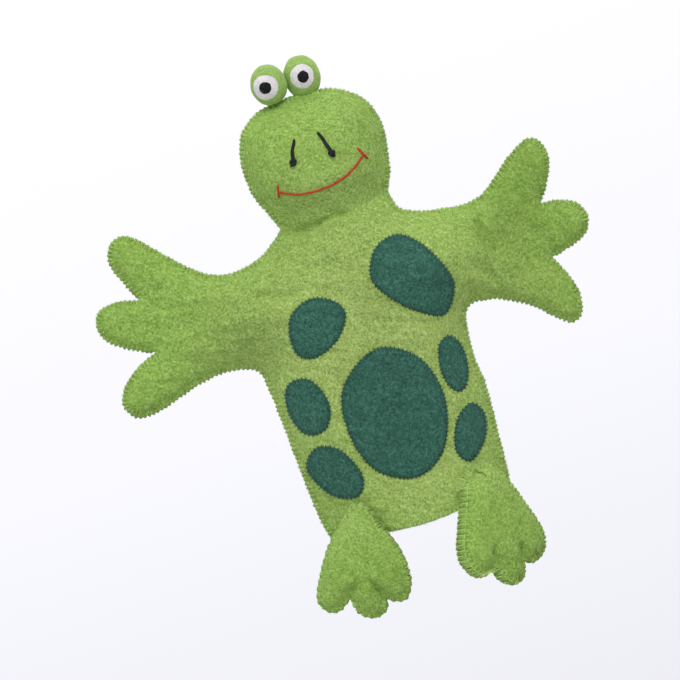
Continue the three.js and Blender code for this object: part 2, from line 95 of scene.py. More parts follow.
SPOTS = {
    "spot_belly": [(-26.3, 56), (-21.9, 80.3), (0.5, 94.5), (20.9, 83.3), (27.4, 59),
                   (18.8, 34), (1, 23.9), (-18.5, 33.6)],
    "spot_chest_right": [(9.9, 132), (16.8, 144.9), (29.8, 148.6), (40.6, 140.2), (48.7, 124.9),
                         (50.4, 112.7), (40.5, 100.6), (25.1, 108.7), (13.9, 121)],
    "spot_chest_left": [(-40.5, 112), (-36.6, 124.5), (-24.6, 130.2), (-13.1, 125.9),
                        (-8.7, 117), (-16.6, 105.7), (-29.6, 100.1), (-38.4, 103.1)],
    "spot_side_left": [(-53.5, 77), (-50.7, 89.1), (-43, 92), (-35.9, 88.2), (-31.5, 75),
                       (-35.7, 63.8), (-43.4, 61.3), (-50.1, 65.2)],
    "spot_hip_left": [(-53.5, 45.5), (-45, 54.6), (-33.4, 49.6), (-26.6, 35), (-29, 25.9),
                      (-35.8, 23.6), (-46.7, 29.8)],
    "spot_side_right": [(29.9, 73), (32.7, 85.4), (39.5, 89.4), (44.4, 83.2), (44.6, 71.1),
                        (40.7, 62.1), (35.8, 59.6), (31.6, 64.1)],
    "spot_hip_right": [(24.4, 31), (29.5, 45.2), (39.5, 52), (45, 44.9), (42.6, 34.1),
                       (35.7, 26), (29.2, 23.3)],
}

FEET = {
    "left": {
        "hinge": (-35.8, -18.9, 20), "yaw": -16, "crown": 5.8, "lean": 0, "pitch": 3.9,
        "outline": [
            [(0, 0.3), (-7, -5.8), (-13, -11.2), (-19.5, -18.2), (-26.5, -28.4), (-31.6, -38),
             (-32.6, -44), (-28.8, -49.6), (-22.5, -50.8), (-15, -46)],
            [(-15, -46), (-13.6, -54.6), (-5.5, -59.9), (1.8, -57.4), (3.8, -51.4)],
            [(3.8, -51.4), (7.6, -54.4), (14, -54.8), (18.6, -49), (20.2, -40.5), (18.6, -27.5),
             (14.5, -17), (9.6, -7.5), (5.4, -1.2), (0, 0.3)],
        ],
        "creases": [[(-15, -47), (-11, -42), (-4, -37)], [(3.8, -53), (2, -44), (-1, -36)]],
    },
    "right": {
        "hinge": (32, -17.5, 20.2), "yaw": 26, "crown": 4.2, "lean": 0.9, "pitch": 2.8,
        "outline": [
            [(0, 0.2), (-8.4, -2.5), (-15.1, -8.4), (-20.4, -18.5), (-25.7, -30), (-29.3, -38.5),
             (-29.7, -46.5), (-25.1, -54.6), (-18.8, -56.4), (-13.2, -54.6)],
            [(-13.2, -54.6), (-11.3, -61), (-4.2, -65.8), (3.1, -63.4), (5.6, -56)],
            [(5.6, -56), (11, -58), (17.3, -55.6), (21.5, -49.5), (21.3, -40), (17.2, -27),
             (12.8, -14.5), (8.8, -5.2), (4.2, -0.6), (0, 0.2)],
        ],
        "creases": [[(-13.2, -55), (-11, -46), (-8.4, -40)],
                    [(5.6, -56.5), (4.7, -50), (3.1, -43)]],
    },
}
FOOT_SET = 7  # from the hinge to the middle plane of a foot
FOOT_GAP = 0.6  # from the body's felt to the back of a foot
CREASE_HEIGHTS = (-5.0, -2.6)  # of the toe creases in the front and the back layer

HEAD_STUFFING = [(-24, 181), (-30.5, 194), (-32, 207), (-27, 220), (-16, 228.5), (2, 231),
                 (19, 229), (30, 221.5), (36, 206), (33.5, 191.5), (28, 181), (2, 178.5)]
FINGER = {"x": 2, "radius": 9.5, "top": 206}
MOUTH = [(-22.8, 189.1), (-14, 184.7), (-2.1, 183.1), (9.8, 184.5), (18.7, 188.2), (26.6, 194.1)]
MOUTH_ENDS = [[(-23.1, 186.1), (-21.7, 192.4)], [(27.9, 191), (24, 198.1)]]
NOSTRILS = {
    "left": [(-6.1, 212.2), (-8.7, 207), (-10.3, 201.2)],
    "right": [(6.9, 211.9), (8.8, 206.6), (10.5, 199.5)],
}
# the white and the pupil of each eye: how far each is turned left and down, in degrees, and
# half its width
EYES = {
    "left": {"at": (-9.9, -6, 244.7), "half": (9.6, 11.0), "white": (-14.5, 9, 6.8),
             "pupil": (-13, 8, 3.3)},
    "right": {"at": (8.3, 1, 243.9), "half": (9.75, 11.6), "white": (0, 2.5, 6.4),
              "pupil": (2.6, 4.5, 3.1)},
}

# Where the felt bends, and where the body is cut into its pieces.
ARM_LINE_LEFT = ((-60.8, 97), (-52, 157))
ARM_LINE_RIGHT = ((52.5, 97), (52.5, 157))
CHIN_CUT = 169.6
WRIST_CUTS = {"left": -76.5, "right": 74}

# ---------------------------------------------------------------- curves


def catmull(points, step, closed=False):
    """Evenly spaced points on the smooth curve through these points, the last one left out."""
    p = np.array(points, float)
    if closed:
        p = np.vstack([p[-1], p, p[0], p[1]])
    else:
        p = np.vstack([p[0], p, p[-1]])
    dense = []
    for i in range(1, len(p) - 2):
        t = np.linspace(0, 1, 40, endpoint=False)[:, None]
        a, b, c, d = p[i - 1], p[i], p[i + 1], p[i + 2]
        v0, v1 = (c - a) / 2, (d - b) / 2
        dense.append((2 * b - 2 * c + v0 + v1) * t ** 3 + (-3 * b + 3 * c - 2 * v0 - v1) * t ** 2
                     + v0 * t + b)
    dense = np.vstack(dense + [p[-2][None]])
    return respace(dense, step)


def respace(line, step):
    """The line at even steps, its last point left out."""
    length = np.concatenate([[0], np.cumsum(np.linalg.norm(np.diff(line, axis=0), axis=1))])
    count = max(3, int(round(length[-1] / step)))
    at = np.linspace(0, length[-1], count, endpoint=False)
    return np.stack([np.interp(at, length, line[:, k]) for k in range(line.shape[1])], axis=1)


def inward(line, closed=True):
    """Unit normals of a clockwise line, pointing to the inside."""
    if closed:
        tangent = np.roll(line, -1, 0) - np.roll(line, 1, 0)
    else:
        tangent = np.gradient(line, axis=0)
    tangent /= np.linalg.norm(tangent, axis=1)[:, None] + 1e-9
    return np.stack([tangent[:, 1], -tangent[:, 0]], 1), tangent


def tree_of(points):
    tree = KDTree(len(points))
    for i, (x, z) in enumerate(points):
        tree.insert((x, z, 0), i)
    tree.balance()
    return tree


def nearest(tree, xz):
    found = [tree.find((x, z, 0))[1:] for x, z in xz]
    return np.array([f[1] for f in found], float), np.array([f[0] for f in found], int)


def inside(ring, xz):
    xz = np.asarray(xz)
    result = np.zeros(len(xz), bool)
    x, z = xz[:, 0], xz[:, 1]
    for (x1, z1), (x2, z2) in zip(ring, np.roll(ring, -1, 0)):
        if z1 == z2:
            continue
        crosses = (z1 > z) != (z2 > z)
        result ^= crosses & (x < (x2 - x1) * (z - z1) / (z2 - z1) + x1)
    return result


def smoothstep(v, a, b):
    t = np.clip((v - a) / (b - a), 0, 1)
    return t * t * (3 - 2 * t)


def to_line(xz, line):
    """Distance from each point to a polyline, and how far along it from 0 to 1."""
    line = np.asarray(line, float)
    best = np.full(len(xz), 1e9)
    along = np.zeros(len(xz))
    lengths = np.linalg.norm(np.diff(line, axis=0), axis=1)
    start = np.concatenate([[0], np.cumsum(lengths)])
    for i, length in enumerate(lengths):
        d = line[i + 1] - line[i]
        t = np.clip(((xz - line[i]) @ d) / length ** 2, 0, 1)
        gap = np.linalg.norm(xz - (line[i] + t[:, None] * d), axis=1)
        closer = gap < best
        best[closer] = gap[closer]
        along[closer] = (start[i] + t[closer] * length) / start[-1]
    return best, along


# ---------------------------------------------------------------- height fields


class Field:
    """A smooth height over the XZ plane, kept on a 1 mm grid."""

    def __init__(self, x0, x1, z0, z1):
        self.x0, self.z0 = x0, z0
        self.nx, self.nz = int(x1 - x0) + 1, int(z1 - z0) + 1
        gx, gz = np.meshgrid(np.arange(self.nx) + x0, np.arange(self.nz) + z0, indexing="ij")
        self.xz = np.stack([gx.ravel(), gz.ravel()], 1).astype(float)
        self.h = np.zeros(len(self.xz))

    def blurred(self, values, sigma):
        grid = values.reshape(self.nx, self.nz)
        fx = np.fft.fftfreq(self.nx)[:, None]
        fz = np.fft.fftfreq(self.nz)[None]
        kernel = np.exp(-2 * (math.pi * sigma) ** 2 * (fx ** 2 + fz ** 2))
        return np.real(np.fft.ifft2(np.fft.fft2(grid) * kernel)).ravel()

    def lumps(self, sigma, height):
        values = self.blurred(rng.standard_normal(len(self.xz)), sigma)
        return values / values.std() * height

    def wrinkles(self, angle, across, along, height):
        """Small ridges that run in one direction, angle degrees up from x."""
        grid = rng.standard_normal((self.nx, self.nz))
        fx, fz = np.meshgrid(np.fft.fftfreq(self.nx), np.fft.fftfreq(self.nz), indexing="ij")
        a = math.radians(angle)
        run, cross = fx * math.cos(a) + fz * math.sin(a), fz * math.cos(a) - fx * math.sin(a)
        kernel = np.exp(-2 * math.pi ** 2 * ((run * along) ** 2 + (cross * across) ** 2))
        values = np.real(np.fft.ifft2(np.fft.fft2(grid) * kernel)).ravel()
        return values / values.std() * height

    def fold(self, line, height, width, ends=0.25):
        gap, along = to_line(self.xz, line)
        taper = smoothstep(along, 0, ends) * smoothstep(1 - along, 0, ends) if ends else 1
        self.h += height * np.exp(-(gap / width) ** 2) * taper * np.minimum(self.d / 5, 1)

    def at(self, xz):
        xz = np.asarray(xz, float).reshape(-1, 2)
        u = np.clip(xz[:, 0] - self.x0, 0, self.nx - 1.001)
        v = np.clip(xz[:, 1] - self.z0, 0, self.nz - 1.001)
        i, j = u.astype(int), v.astype(int)
        u, v = u - i, v - j
        g = self.h.reshape(self.nx, self.nz)
        return ((g[i, j] * (1 - u) + g[i + 1, j] * u) * (1 - v)
                + (g[i, j + 1] * (1 - u) + g[i + 1, j + 1] * u) * v)


def distance_field(field, line, ring):
    field.d, _ = nearest(tree_of(respace(line, 0.4)), field.xz)
    field.d *= inside(ring, field.xz)


def lerp(a, b, t):
    return a + (b - a) * t


CHEST, NECKLINE, FACE, SLEEVE, PAW = (20, 34), (12.5, 28), (21, 30), (8.5, 23), (2.6, 9)

sewn = np.vstack([catmull(stretch, 1.5) for stretch in SEWN] + [np.array([SEWN[-1][-1]])])
crown_line = np.vstack([(-51, HEM_DROP), sewn, (46, HEM_DROP)])


def seam_wave(xz):
    """How far the seam wanders back and forth from the middle plane."""
    return 0.35 * np.sin((xz[..., 1] + 0.9 * xz[..., 0]) * math.tau / 11)


def body_field(side):
    field = Field(-146, 142, -28, 246)
    distance_field(field, crown_line, crown_line)
    x, z = field.xz.T
    out = np.abs(x + 3)
    depth, rise = np.full(len(x), CHEST[0], float), np.full(len(x), CHEST[1], float)
    below_chin = z < 181.2
    for t, (to_depth, to_rise) in (
        (smoothstep(z, 153, 168), NECKLINE),
        (smoothstep(z, 168, 187), FACE),
        (smoothstep(out, 44, 72) * below_chin, SLEEVE),
        (smoothstep(out, 72, 100), PAW),
    ):
        depth, rise = lerp(depth, to_depth, t), lerp(rise, to_rise, t)
    t = np.clip((field.d - 1.8) / rise, 0, 1)
    soft, full = np.sin(t * math.pi / 2), np.sqrt(1 - (1 - t) ** 2)
    fullness = 0.12 + 0.4 * smoothstep(z, 178, 192) * (out < 50) + 0.3 * smoothstep(out, 85, 105)
    field.h = field.blurred(depth * lerp(soft, full, fullness), 1.7)
    inner = np.clip((field.d - 4) / 10, 0, 1)
    field.h += (field.lumps(9, 0.38) + field.lumps(3.6, 0.13)) * inner
    # the felt is creased along the left arm and the chest, and down across the right arm
    west, east = smoothstep(-x, 20, 50), smoothstep(x, 45, 62)
    creased = (field.wrinkles(-24, 1.1, 5.5, 0.3) * np.maximum(1 - west - east, 0)
               + field.wrinkles(-14, 1.2, 5.5, 0.32) * west
               + field.wrinkles(-66, 1.3, 6.5, 0.45) * east)
    field.h += creased * (1 - 0.6 * smoothstep(z, 168, 182) * (out < 50)) * np.minimum(inner * 2, 1)
    field.h += side * seam_wave(field.xz) * (1 - smoothstep(field.d, 1.5, 6))
    return field


# the fold under the chin, from one notch to the other
CHIN_FOLD = [(-27.5, 170.2), (-24.9, 167.4), (-18, 166), (-11.3, 165.7), (-3.1, 167), (4.7, 166.8),
             (12.7, 167.7), (22, 169.5), (31.2, 171.5)]
# Each fold is its line, its height, its width and how much of either end fades out.
FRONT_FOLDS = [
    # the fold under the chin
    (CHIN_FOLD, -2.4, 3.8, 0),
    (CHIN_FOLD[:7], -2.4, 1.3, 0.2),
    ([(-26, 176), (-10, 174), (10, 175), (30, 179)], -0.9, 6, 0.15),
    ([(-24, 163.5), (-12, 161.5), (0, 162.8), (14, 163.6)], 0.7, 2.4),
    # the pull of the sleeves and the gathers at the armpits
    ([(-57.7, 145.6), (-48, 139), (-37, 135), (-24, 136.2)], -1.9, 2.3),
    ([(-56, 152), (-44, 146), (-33, 142), (-18, 143)], 0.9, 3.6),
    ([(-22, 160), (-15, 153), (-8, 150)], -1.1, 1.9),
    ([(-36, 152), (-26, 150), (-12, 144), (2, 143)], -1.2, 1.8),
    ([(-30, 98), (-18, 100), (-4, 104), (8, 104)], -0.6, 1.7),
    ([(-48, 128), (-58, 134), (-70, 138)], -0.8, 1.7),
    ([(-9, 165), (-6, 160), (-6, 154)], -0.8, 1.9),
    ([(5, 166), (4, 160), (6, 155)], -0.7, 1.9),
    ([(72.2, 147), (74.3, 131.3), (78.1, 119)], -2.3, 2.0),
    ([(67, 148), (68, 136), (70, 122)], 1.1, 2.6),
    ([(63, 123), (67, 116), (73.5, 106.2)], -2.2, 1.9),
    ([(54.9, 112.5), (60.5, 106.6), (66, 104)], -1.3, 1.8),
    ([(57, 118), (63, 111.5), (70, 106.5)], 0.8, 2.2),
    ([(60, 132), (67, 125), (76, 118)], 0.7, 2.8),
    ([(-66, 110), (-58, 118), (-48, 122)], -0.9, 2.9),
    ([(-70, 113), (-64, 121), (-55, 127)], 0.7, 2.9),
    ([(-72, 150), (-68, 137), (-66, 124)], -0.8, 3.2),
    ([(-82, 150), (-79, 138), (-80, 120)], -0.6, 2.8),
    ([(-93, 148), (-91, 137), (-93, 119)], 0.5, 3),
    ([(84, 150), (86, 138), (89, 124)], -0.6, 2.8),
    ([(-50, 8), (-46, 20), (-44, 34)], -0.6, 4),
    ([(-6, 4), (-4, 12), (-5, 22)], 0.6, 6),
    ([(12, 6), (10, 14), (13, 22)], -0.5, 4),
]
BACK_FOLDS = [
    ([(-27.5, 170), (-14, 168), (4, 167.5), (20, 169), (32, 171.8)], -2.0, 5, 0),
    ([(-60, 146), (-46, 138), (-30, 137)], -0.9, 4),
    ([(62, 143), (48, 136), (34, 134)], -0.9, 4),
    ([(-2, 150), (0, 120), (-3, 92)], -0.8, 7),
    ([(72, 150), (73, 138), (70, 122)], -0.8, 3.4),
    ([(-72, 150), (-71, 136), (-74, 122)], -0.8, 3.4),
    ([(-12, 70), (-18, 46), (-22, 20)], 0.7, 7),
    ([(18, 76), (22, 50), (26, 22)], -0.7, 7),
]
front = body_field(-1)
for crease in FRONT_FOLDS:
    front.fold(*crease)
back = body_field(1)
for crease in BACK_FOLDS:
    back.fold(*crease)

# ---------------------------------------------------------------- materials


def ramp(nodes, stops):
    node = nodes.new("ShaderNodeValToRGB")
    elements = node.color_ramp.elements
    while len(elements) < len(stops):
        elements.new(0.5)
    for element, (at, colour) in zip(elements, stops):
        element.position, element.color = at, (*colour, 1)
    return node


def range_node(nodes, low, high, to_low=0.0, to_high=1.0):
    """A Map Range node from one span of values to another."""
    node = nodes.new("ShaderNodeMapRange")
    for label, value in zip(("From Min", "From Max", "To Min", "To Max"),
                            (low, high, to_low, to_high)):
        node.inputs[label].default_value = value
    return node


def wool(name, base, light, dark, warm, fibre=1.0, contrast=1.0, bump=0.35, sheen=0.3,
         zones=()):
    """Matted wool: short crossing fibres of three shades, soft patches and a fuzzy surface.
    Each zone is painted light and shade: a middle, the distances where it starts and stops fading,
    and the base it brings there."""
    material = bpy.data.materials.new(name)
    material.use_nodes = True
    nodes, links = material.node_tree.nodes, material.node_tree.links
    shader = nodes["Principled BSDF"]
    shader.inputs["Roughness"].default_value = 0.92
    shader.inputs["Specular IOR Level"].default_value = 0.15
    shader.inputs["Sheen Weight"].default_value = sheen
    shader.inputs["Sheen Roughness"].default_value = 0.6
    shader.inputs["Sheen Tint"].default_value = (*[min(1, c * 1.3 + 0.05) for c in light], 1)
    where = nodes.new("ShaderNodeTexCoord").outputs["Object"]

    def link(value, socket):
        if isinstance(value, tuple):
            socket.default_value = value if len(value) == 3 and socket.type == "VECTOR" else (
                *value, 1)
        elif isinstance(value, (int, float)):
            socket.default_value = value
        else:
            links.new(value, socket)

    def vector(kind, a, b):
        node = nodes.new("ShaderNodeVectorMath")
        node.operation = kind
        link(a, node.inputs[0])
        link(b, node.inputs["Scale" if kind == "SCALE" else 1])
        return node.outputs["Vector"]

    def maths(kind, a, b=None):
        node = nodes.new("ShaderNodeMath")
        node.operation = kind
        link(a, node.inputs[0])
        if b is not None:
            link(b, node.inputs[1])
        return node.outputs[0]

    def noise_of(at, scale, detail, output="Fac"):
        tex = nodes.new("ShaderNodeTexNoise")
        tex.inputs["Scale"].default_value = scale
        tex.inputs["Detail"].default_value = detail
        links.new(at, tex.inputs["Vector"])
        return tex.outputs[output]

    def ranged(value, low, high, to_low, to_high):
        node = range_node(nodes, low, high, to_low, to_high)
        links.new(value, node.inputs["Value"])
        return node.outputs["Result"]

    def mixed(factor, a, b):
        node = nodes.new("ShaderNodeMix")
        node.data_type = "RGBA"
        link(factor, node.inputs[0])
        link(a, node.inputs[6])
        link(b, node.inputs[7])
        return node.outputs[2]

    # every fibre wanders a little
    wander = vector("SUBTRACT", noise_of(where, 420 * fibre, 1.0, "Color"), (0.5, 0.5, 0.5))
    bent = vector("ADD", where, vector("SCALE", wander, 0.0016 / fibre))

    def drawn(at, angle, length, shift=0.0):
        """Coordinates that draw a texture out along one direction of the sheet."""
        mapping = nodes.new("ShaderNodeMapping")
        mapping.vector_type = "TEXTURE"
        mapping.inputs["Location"].default_value = (shift, shift * 0.7, shift * 1.3)
        mapping.inputs["Rotation"].default_value = (0.15, math.radians(angle), 0)
        mapping.inputs["Scale"].default_value = (1, 1, length)
        links.new(at, mapping.inputs["Vector"])
        return mapping.outputs["Vector"]

    def strokes(kind, angles, shift):
        """The palest or the deepest of the fibres that cross at each point."""
        layers = [noise_of(drawn(bent, angle, 4.0, shift + 0.13 * k), 1050 * fibre, 1.5)
                  for k, angle in enumerate(angles)]
        found = layers[0]
        for layer in layers[1:]:
            found = maths(kind, found, layer)
        return found

    pale = ranged(strokes("MAXIMUM", (20, 75, 140), 0.0), 0.56, 0.72, 0.0, 1.0)
    deep = ranged(strokes("MINIMUM", (50, 108, 165), 0.5), 0.44, 0.28, 0.0, 1.0)
    speckle = noise_of(bent, 880 * fibre, 4.0)
    mottle = noise_of(drawn(where, 120, 3.0), 420, 3.0)
    patches = noise_of(where, 85, 3.0)
    broad = noise_of(where, 17, 2.0)

    low, mid, high = np.array(dark), np.array(base), np.array(light)
    grain = ramp(nodes, [(0.32, tuple(lerp(mid, low, 0.6 * contrast))), (0.5, tuple(base)),
                         (0.68, tuple(lerp(mid, high, 0.5 * contrast)))])
    links.new(speckle, grain.inputs["Fac"])
    colour = grain.outputs["Color"]
    colour = mixed(maths("MULTIPLY", deep, 0.5 * contrast), colour, dark)
    colour = mixed(maths("MULTIPLY", pale, 0.42 * contrast), colour, light)
    colour = mixed(ranged(patches, 0.45, 0.7, 0.0, 0.25), colour, warm)
    # painted light and shade: near each zone's middle the colour is pulled towards a lighter or
    # darker base
    for middle, first, last, painted_light_base in zones:
        painted_light_ratio = tuple(a / b for a, b in zip(painted_light_base, base))
        length = nodes.new("ShaderNodeVectorMath")
        length.operation = "LENGTH"
        links.new(vector("SUBTRACT", where, middle), length.inputs[0])
        painted_light_mask = ranged(length.outputs["Value"], first, last, 1.0, 0.0)
        colour = vector("MULTIPLY", colour, mixed(painted_light_mask, (1.0, 1.0, 1.0), painted_light_ratio))
    shade = maths("MULTIPLY", ranged(mottle, 0.3, 0.7, 1 - 0.12 * contrast, 1 + 0.12 * contrast),
                  ranged(broad, 0.3, 0.7, 0.93, 1.07))
    links.new(vector("SCALE", colour, shade), shader.inputs["Base Color"])

    height = maths("ADD", maths("MULTIPLY", pale, 0.5), speckle)
    height = maths("ADD", height, maths("MULTIPLY", mottle, 1.5))
    relief = nodes.new("ShaderNodeBump")
    relief.inputs["Strength"].default_value = bump
    relief.inputs["Distance"].default_value = 0.0007
    links.new(height, relief.inputs["Height"])
    links.new(relief.outputs["Normal"], shader.inputs["Normal"])
    return material


# The six zones of green_felt are painted light and shade: lighter over the middle of the body, the
# face and the low front, darker round the right paw, a patch on the chest and the left shoulder.
GREEN = wool("green_felt", (0.259, 0.422, 0.075), (0.50, 0.73, 0.22), (0.10, 0.22, 0.015),
             (0.32, 0.45, 0.085), sheen=0.2,
             zones=(((0.0, -0.02, 0.09), 0.035, 0.115, (0.325, 0.455, 0.11)),
                    ((0.093, 0.0, 0.145), 0.012, 0.040, (0.212, 0.350, 0.060)),
                    ((0.015, -0.02, 0.195), 0.020, 0.055, (0.272, 0.430, 0.084)),
                    ((0.012, -0.02, 0.118), 0.004, 0.020, (0.222, 0.370, 0.064)),
                    ((-0.05, 0.0, 0.125), 0.010, 0.034, (0.226, 0.372, 0.066)),
                    ((0.012, -0.02, 0.012), 0.012, 0.045, (0.286, 0.445, 0.088))))
DARK = wool("dark_felt", (0.033, 0.120, 0.078), (0.10, 0.27, 0.21), (0.009, 0.042, 0.034),
            (0.034, 0.10, 0.07), sheen=0.2)
EYE_GREEN = wool("eye_green_felt", (0.30, 0.48, 0.12), (0.5, 0.68, 0.25), (0.16, 0.31, 0.04),
                 (0.36, 0.48, 0.13), contrast=0.75)
WHITE = wool("white_wool", (0.80, 0.76, 0.76), (0.95, 0.93, 0.93), (0.50, 0.46, 0.46),
             (0.78, 0.74, 0.72), contrast=0.6, bump=0.3)
BLACK = wool("black_wool", (0.010, 0.012, 0.013), (0.05, 0.055, 0.055), (0.004, 0.005, 0.005),
             (0.012, 0.013, 0.014), contrast=0.8, bump=0.3, sheen=0.1)
FILLING = wool("stuffing", (0.80, 0.78, 0.70), (0.93, 0.91, 0.86), (0.6, 0.57, 0.5),
               (0.78, 0.75, 0.66), fibre=0.6, contrast=0.6, bump=0.6)


def thread_material(name, base, light, dark, sheen=0.2):
    """Sewing thread, a little smoother than the wool."""
    material = wool(name, base, light, dark, base, fibre=1.3, contrast=0.7, bump=0.3, sheen=sheen)
    material.node_tree.nodes["Principled BSDF"].inputs["Roughness"].default_value = 0.7
    return material


GREEN_THREAD = thread_material("green_thread", (0.46, 0.66, 0.17), (0.66, 0.86, 0.36),
                               (0.14, 0.27, 0.03))
DARK_THREAD = thread_material("dark_thread", (0.022, 0.085, 0.068), (0.09, 0.24, 0.20),
                              (0.008, 0.034, 0.03))
RED_THREAD = thread_material("red_thread", (0.50, 0.052, 0.020), (0.70, 0.13, 0.05),
                             (0.36, 0.02, 0.01))
BLACK_THREAD = thread_material("black_thread", (0.012, 0.018, 0.015), (0.06, 0.075, 0.065),
                               (0.005, 0.007, 0.006), sheen=0.1)

# ---------------------------------------------------------------- meshes


def make(name, points, faces, material, slot, normals=None):
    """A smooth mesh object from points in millimetres."""
    mesh = bpy.data.meshes.new(name)
    mesh.from_pydata((np.asarray(points) / 1000).tolist(), [], [list(f) for f in faces])
    mesh.materials.append(material)
    mesh.polygons.foreach_set("use_smooth", [True] * len(mesh.polygons))
    if normals is not None:
        mesh.normals_split_custom_set_from_vertices(np.asarray(normals).tolist())
    obj = bpy.data.objects.new(name, mesh)
    bpy.context.scene.collection.objects.link(obj)
    return obj


def vertex_normals(points, faces):
    points, faces = np.asarray(points), np.asarray(faces)
    a, b, c = (points[faces[:, k]] for k in range(3))
    flat = np.cross(b - a, c - a)
    normals = np.zeros_like(points)
    for k in range(3):
        np.add.at(normals, faces[:, k], flat)
    return normals / (np.linalg.norm(normals, axis=1)[:, None] + 1e-12)


def hexes(ring, step):
    (x0, z0), (x1, z1) = ring.min(0), ring.max(0)
    rows = []
    for k, z in enumerate(np.arange(z0, z1, step * 0.866)):
        x = np.arange(x0 + (k % 2) * step / 2, x1, step)
        rows.append(np.stack([x, np.full(len(x), z)], 1))
    points = np.vstack(rows)
    return points[inside(ring, points)]


def fill(ring, extra):
    """Triangles of the area inside a ring, using the extra points."""
    points = np.vstack([ring, extra]) if len(extra) else ring
    count = len(ring)
    edges = [(i, (i + 1) % count) for i in range(count)]
    coords, _, faces, *_ = delaunay_2d_cdt([Vector(p) for p in points], edges, [], 1, 1e-7)
    if len(coords) != len(points):
        raise RuntimeError(f"the outline crosses itself: {len(points)} became {len(coords)}")
    faces = np.array([f for f in faces if len(f) == 3])
    a, b, c = (points[faces[:, k]] for k in range(3))
    turn = (b[:, 0] - a[:, 0]) * (c[:, 1] - a[:, 1]) - (b[:, 1] - a[:, 1]) * (c[:, 0] - a[:, 0])
    faces[turn < 0] = faces[turn < 0][:, ::-1]
    return points, faces


BULGE = 0.42  # how far the felt stands out between stitches
RINGS = ((0.14, 1), (0.4, 1), (0.8, 1), (1.3, 1), (1.9, 1), (2.7, 2), (3.8, 3), (5.2, 4))


def stitched(dense, last, pitch):
    """A line with an even number of points to each stitch, and where in its stitch each is."""
    length = len(dense) * FINE
    count = max(3, int(round(length / pitch)))
    line = respace(np.vstack([dense, last]), length / (count * PER_STITCH))
    return line, np.arange(len(line)) / PER_STITCH % 1


def closed_mesh(upper, lower, faces, lower_faces, edge):
    """One mesh of two sheets that share the points of their edge, which come first in both."""
    moved = np.where(lower_faces < edge, lower_faces, lower_faces + len(upper) - edge)
    return np.vstack([upper, lower[edge:]]), np.vstack([faces, moved[:, ::-1]])


class Panel:
    """The flat pattern of a felt panel: its edge with a notch at every stitch, and its points."""

    def __init__(self, stretches, hem=None, pitch=PITCH, notch=1.1, step=1.3, square=2.3):
        edges = []
        self.square = square
        for stretch in stretches + ([hem] if hem else []):
            line, phase = stitched(catmull(stretch, FINE), stretch[-1], pitch)
            edges.append((line, phase, np.full(len(line), 1.0 if stretch is hem else 0.0)))
        self.ring = np.vstack([e[0] for e in edges])
        self.phase = np.concatenate([e[1] for e in edges])
        self.hem = np.concatenate([e[2] for e in edges])
        self.normal, self.tangent = inward(self.ring)
        self.tree = tree_of(self.ring)
        self.stitch_at = np.where(np.isclose(self.phase, STITCH_PHASE))[0]
        dip = np.exp(-((self.phase - STITCH_PHASE) / 0.25) ** 2)
        pulls = 0.6 + 0.8 * rng.random(len(dip) // PER_STITCH + 1)
        pull = np.repeat(pulls, PER_STITCH)[:len(dip)]
        wobble = np.convolve(rng.standard_normal(len(dip) + 6), np.ones(7) / 7, "valid") * 0.36
        corners = np.array([stretch[0] for stretch in stretches], float)
        away = np.min(np.linalg.norm(self.ring[:, None] - corners[None], axis=2), axis=1)
        free = smoothstep(away, 0.6, 3.0)
        # the sleeves sag a little past the seam line along their lower edges
        below = np.clip(self.normal @ (0.309, 0.951), 0, 1)
        sag = 0.5 * below * smoothstep(np.abs(self.ring[:, 0] + 3), 44, 58)
        self.cut = self.ring + self.normal * (
            (dip * pull * notch - BULGE - sag + wobble) * free)[:, None]
        extra = []
        for offset, stride in RINGS:
            points = (self.ring + self.normal * offset)[::stride]
            gap, _ = nearest(self.tree, points)
            extra.append(points[(gap > offset * 0.96) & inside(self.ring, points)])
        inner = hexes(self.ring, step)
        gap, _ = nearest(self.tree, inner)
        extra.append(inner[gap > RINGS[-1][0] + step * 0.6])
        self.points, self.faces = fill(self.cut, np.vstack(extra))
        rough = hexes(self.ring, 4.5)
        gap, _ = nearest(self.tree, rough)
        self.lining, self.lining_faces = fill(self.cut, rough[gap > 2.2])

    def edge_facts(self, xz):
        gap, at = nearest(self.tree, xz)
        return gap, self.phase[at], self.hem[at]


def dents(gap, phase, depth=1.5):
    """The felt is pulled down where a stitch crosses it."""
    across = np.exp(-((phase - STITCH_PHASE) / 0.26) ** 2)
    return depth * across * (1 - smoothstep(gap, 2.2, 3.6)) * smoothstep(gap, 0.1, 0.7)


def rounded(gap, radius, square=2.0):
    """Rise of a felt edge from 0 to 1; a larger square gives a steeper side."""
    return (1 - (1 - np.clip(gap / radius, 0, 1)) ** square) ** (1 / square)


def outer_height(field, xz, gap, phase, hem, square=2.3):
    side = rounded(gap, 1.7, square)
    crown = field.at(xz)
    pinch = 0.55 * (1 - smoothstep(gap, 1.5, 5.0)) * (square < 3)
    sewn_y = SEAM + 0.15 + (FELT - 0.15 - pinch) * side + crown
    hem_y = GAP / 2 + crown + FELT / 2 + FELT / 2 * side
    return lerp(sewn_y, hem_y, hem) - dents(gap, phase) * lerp(1, 0.7, hem)


def inner_height(field, xz, gap, hem):
    side = rounded(gap, 1.7)
    crown = field.at(xz)
    sewn_y = SEAM + 0.15 * (1 - side) + crown
    hem_y = GAP / 2 + crown + FELT / 2 - FELT / 2 * side
    return lerp(sewn_y, hem_y, hem)


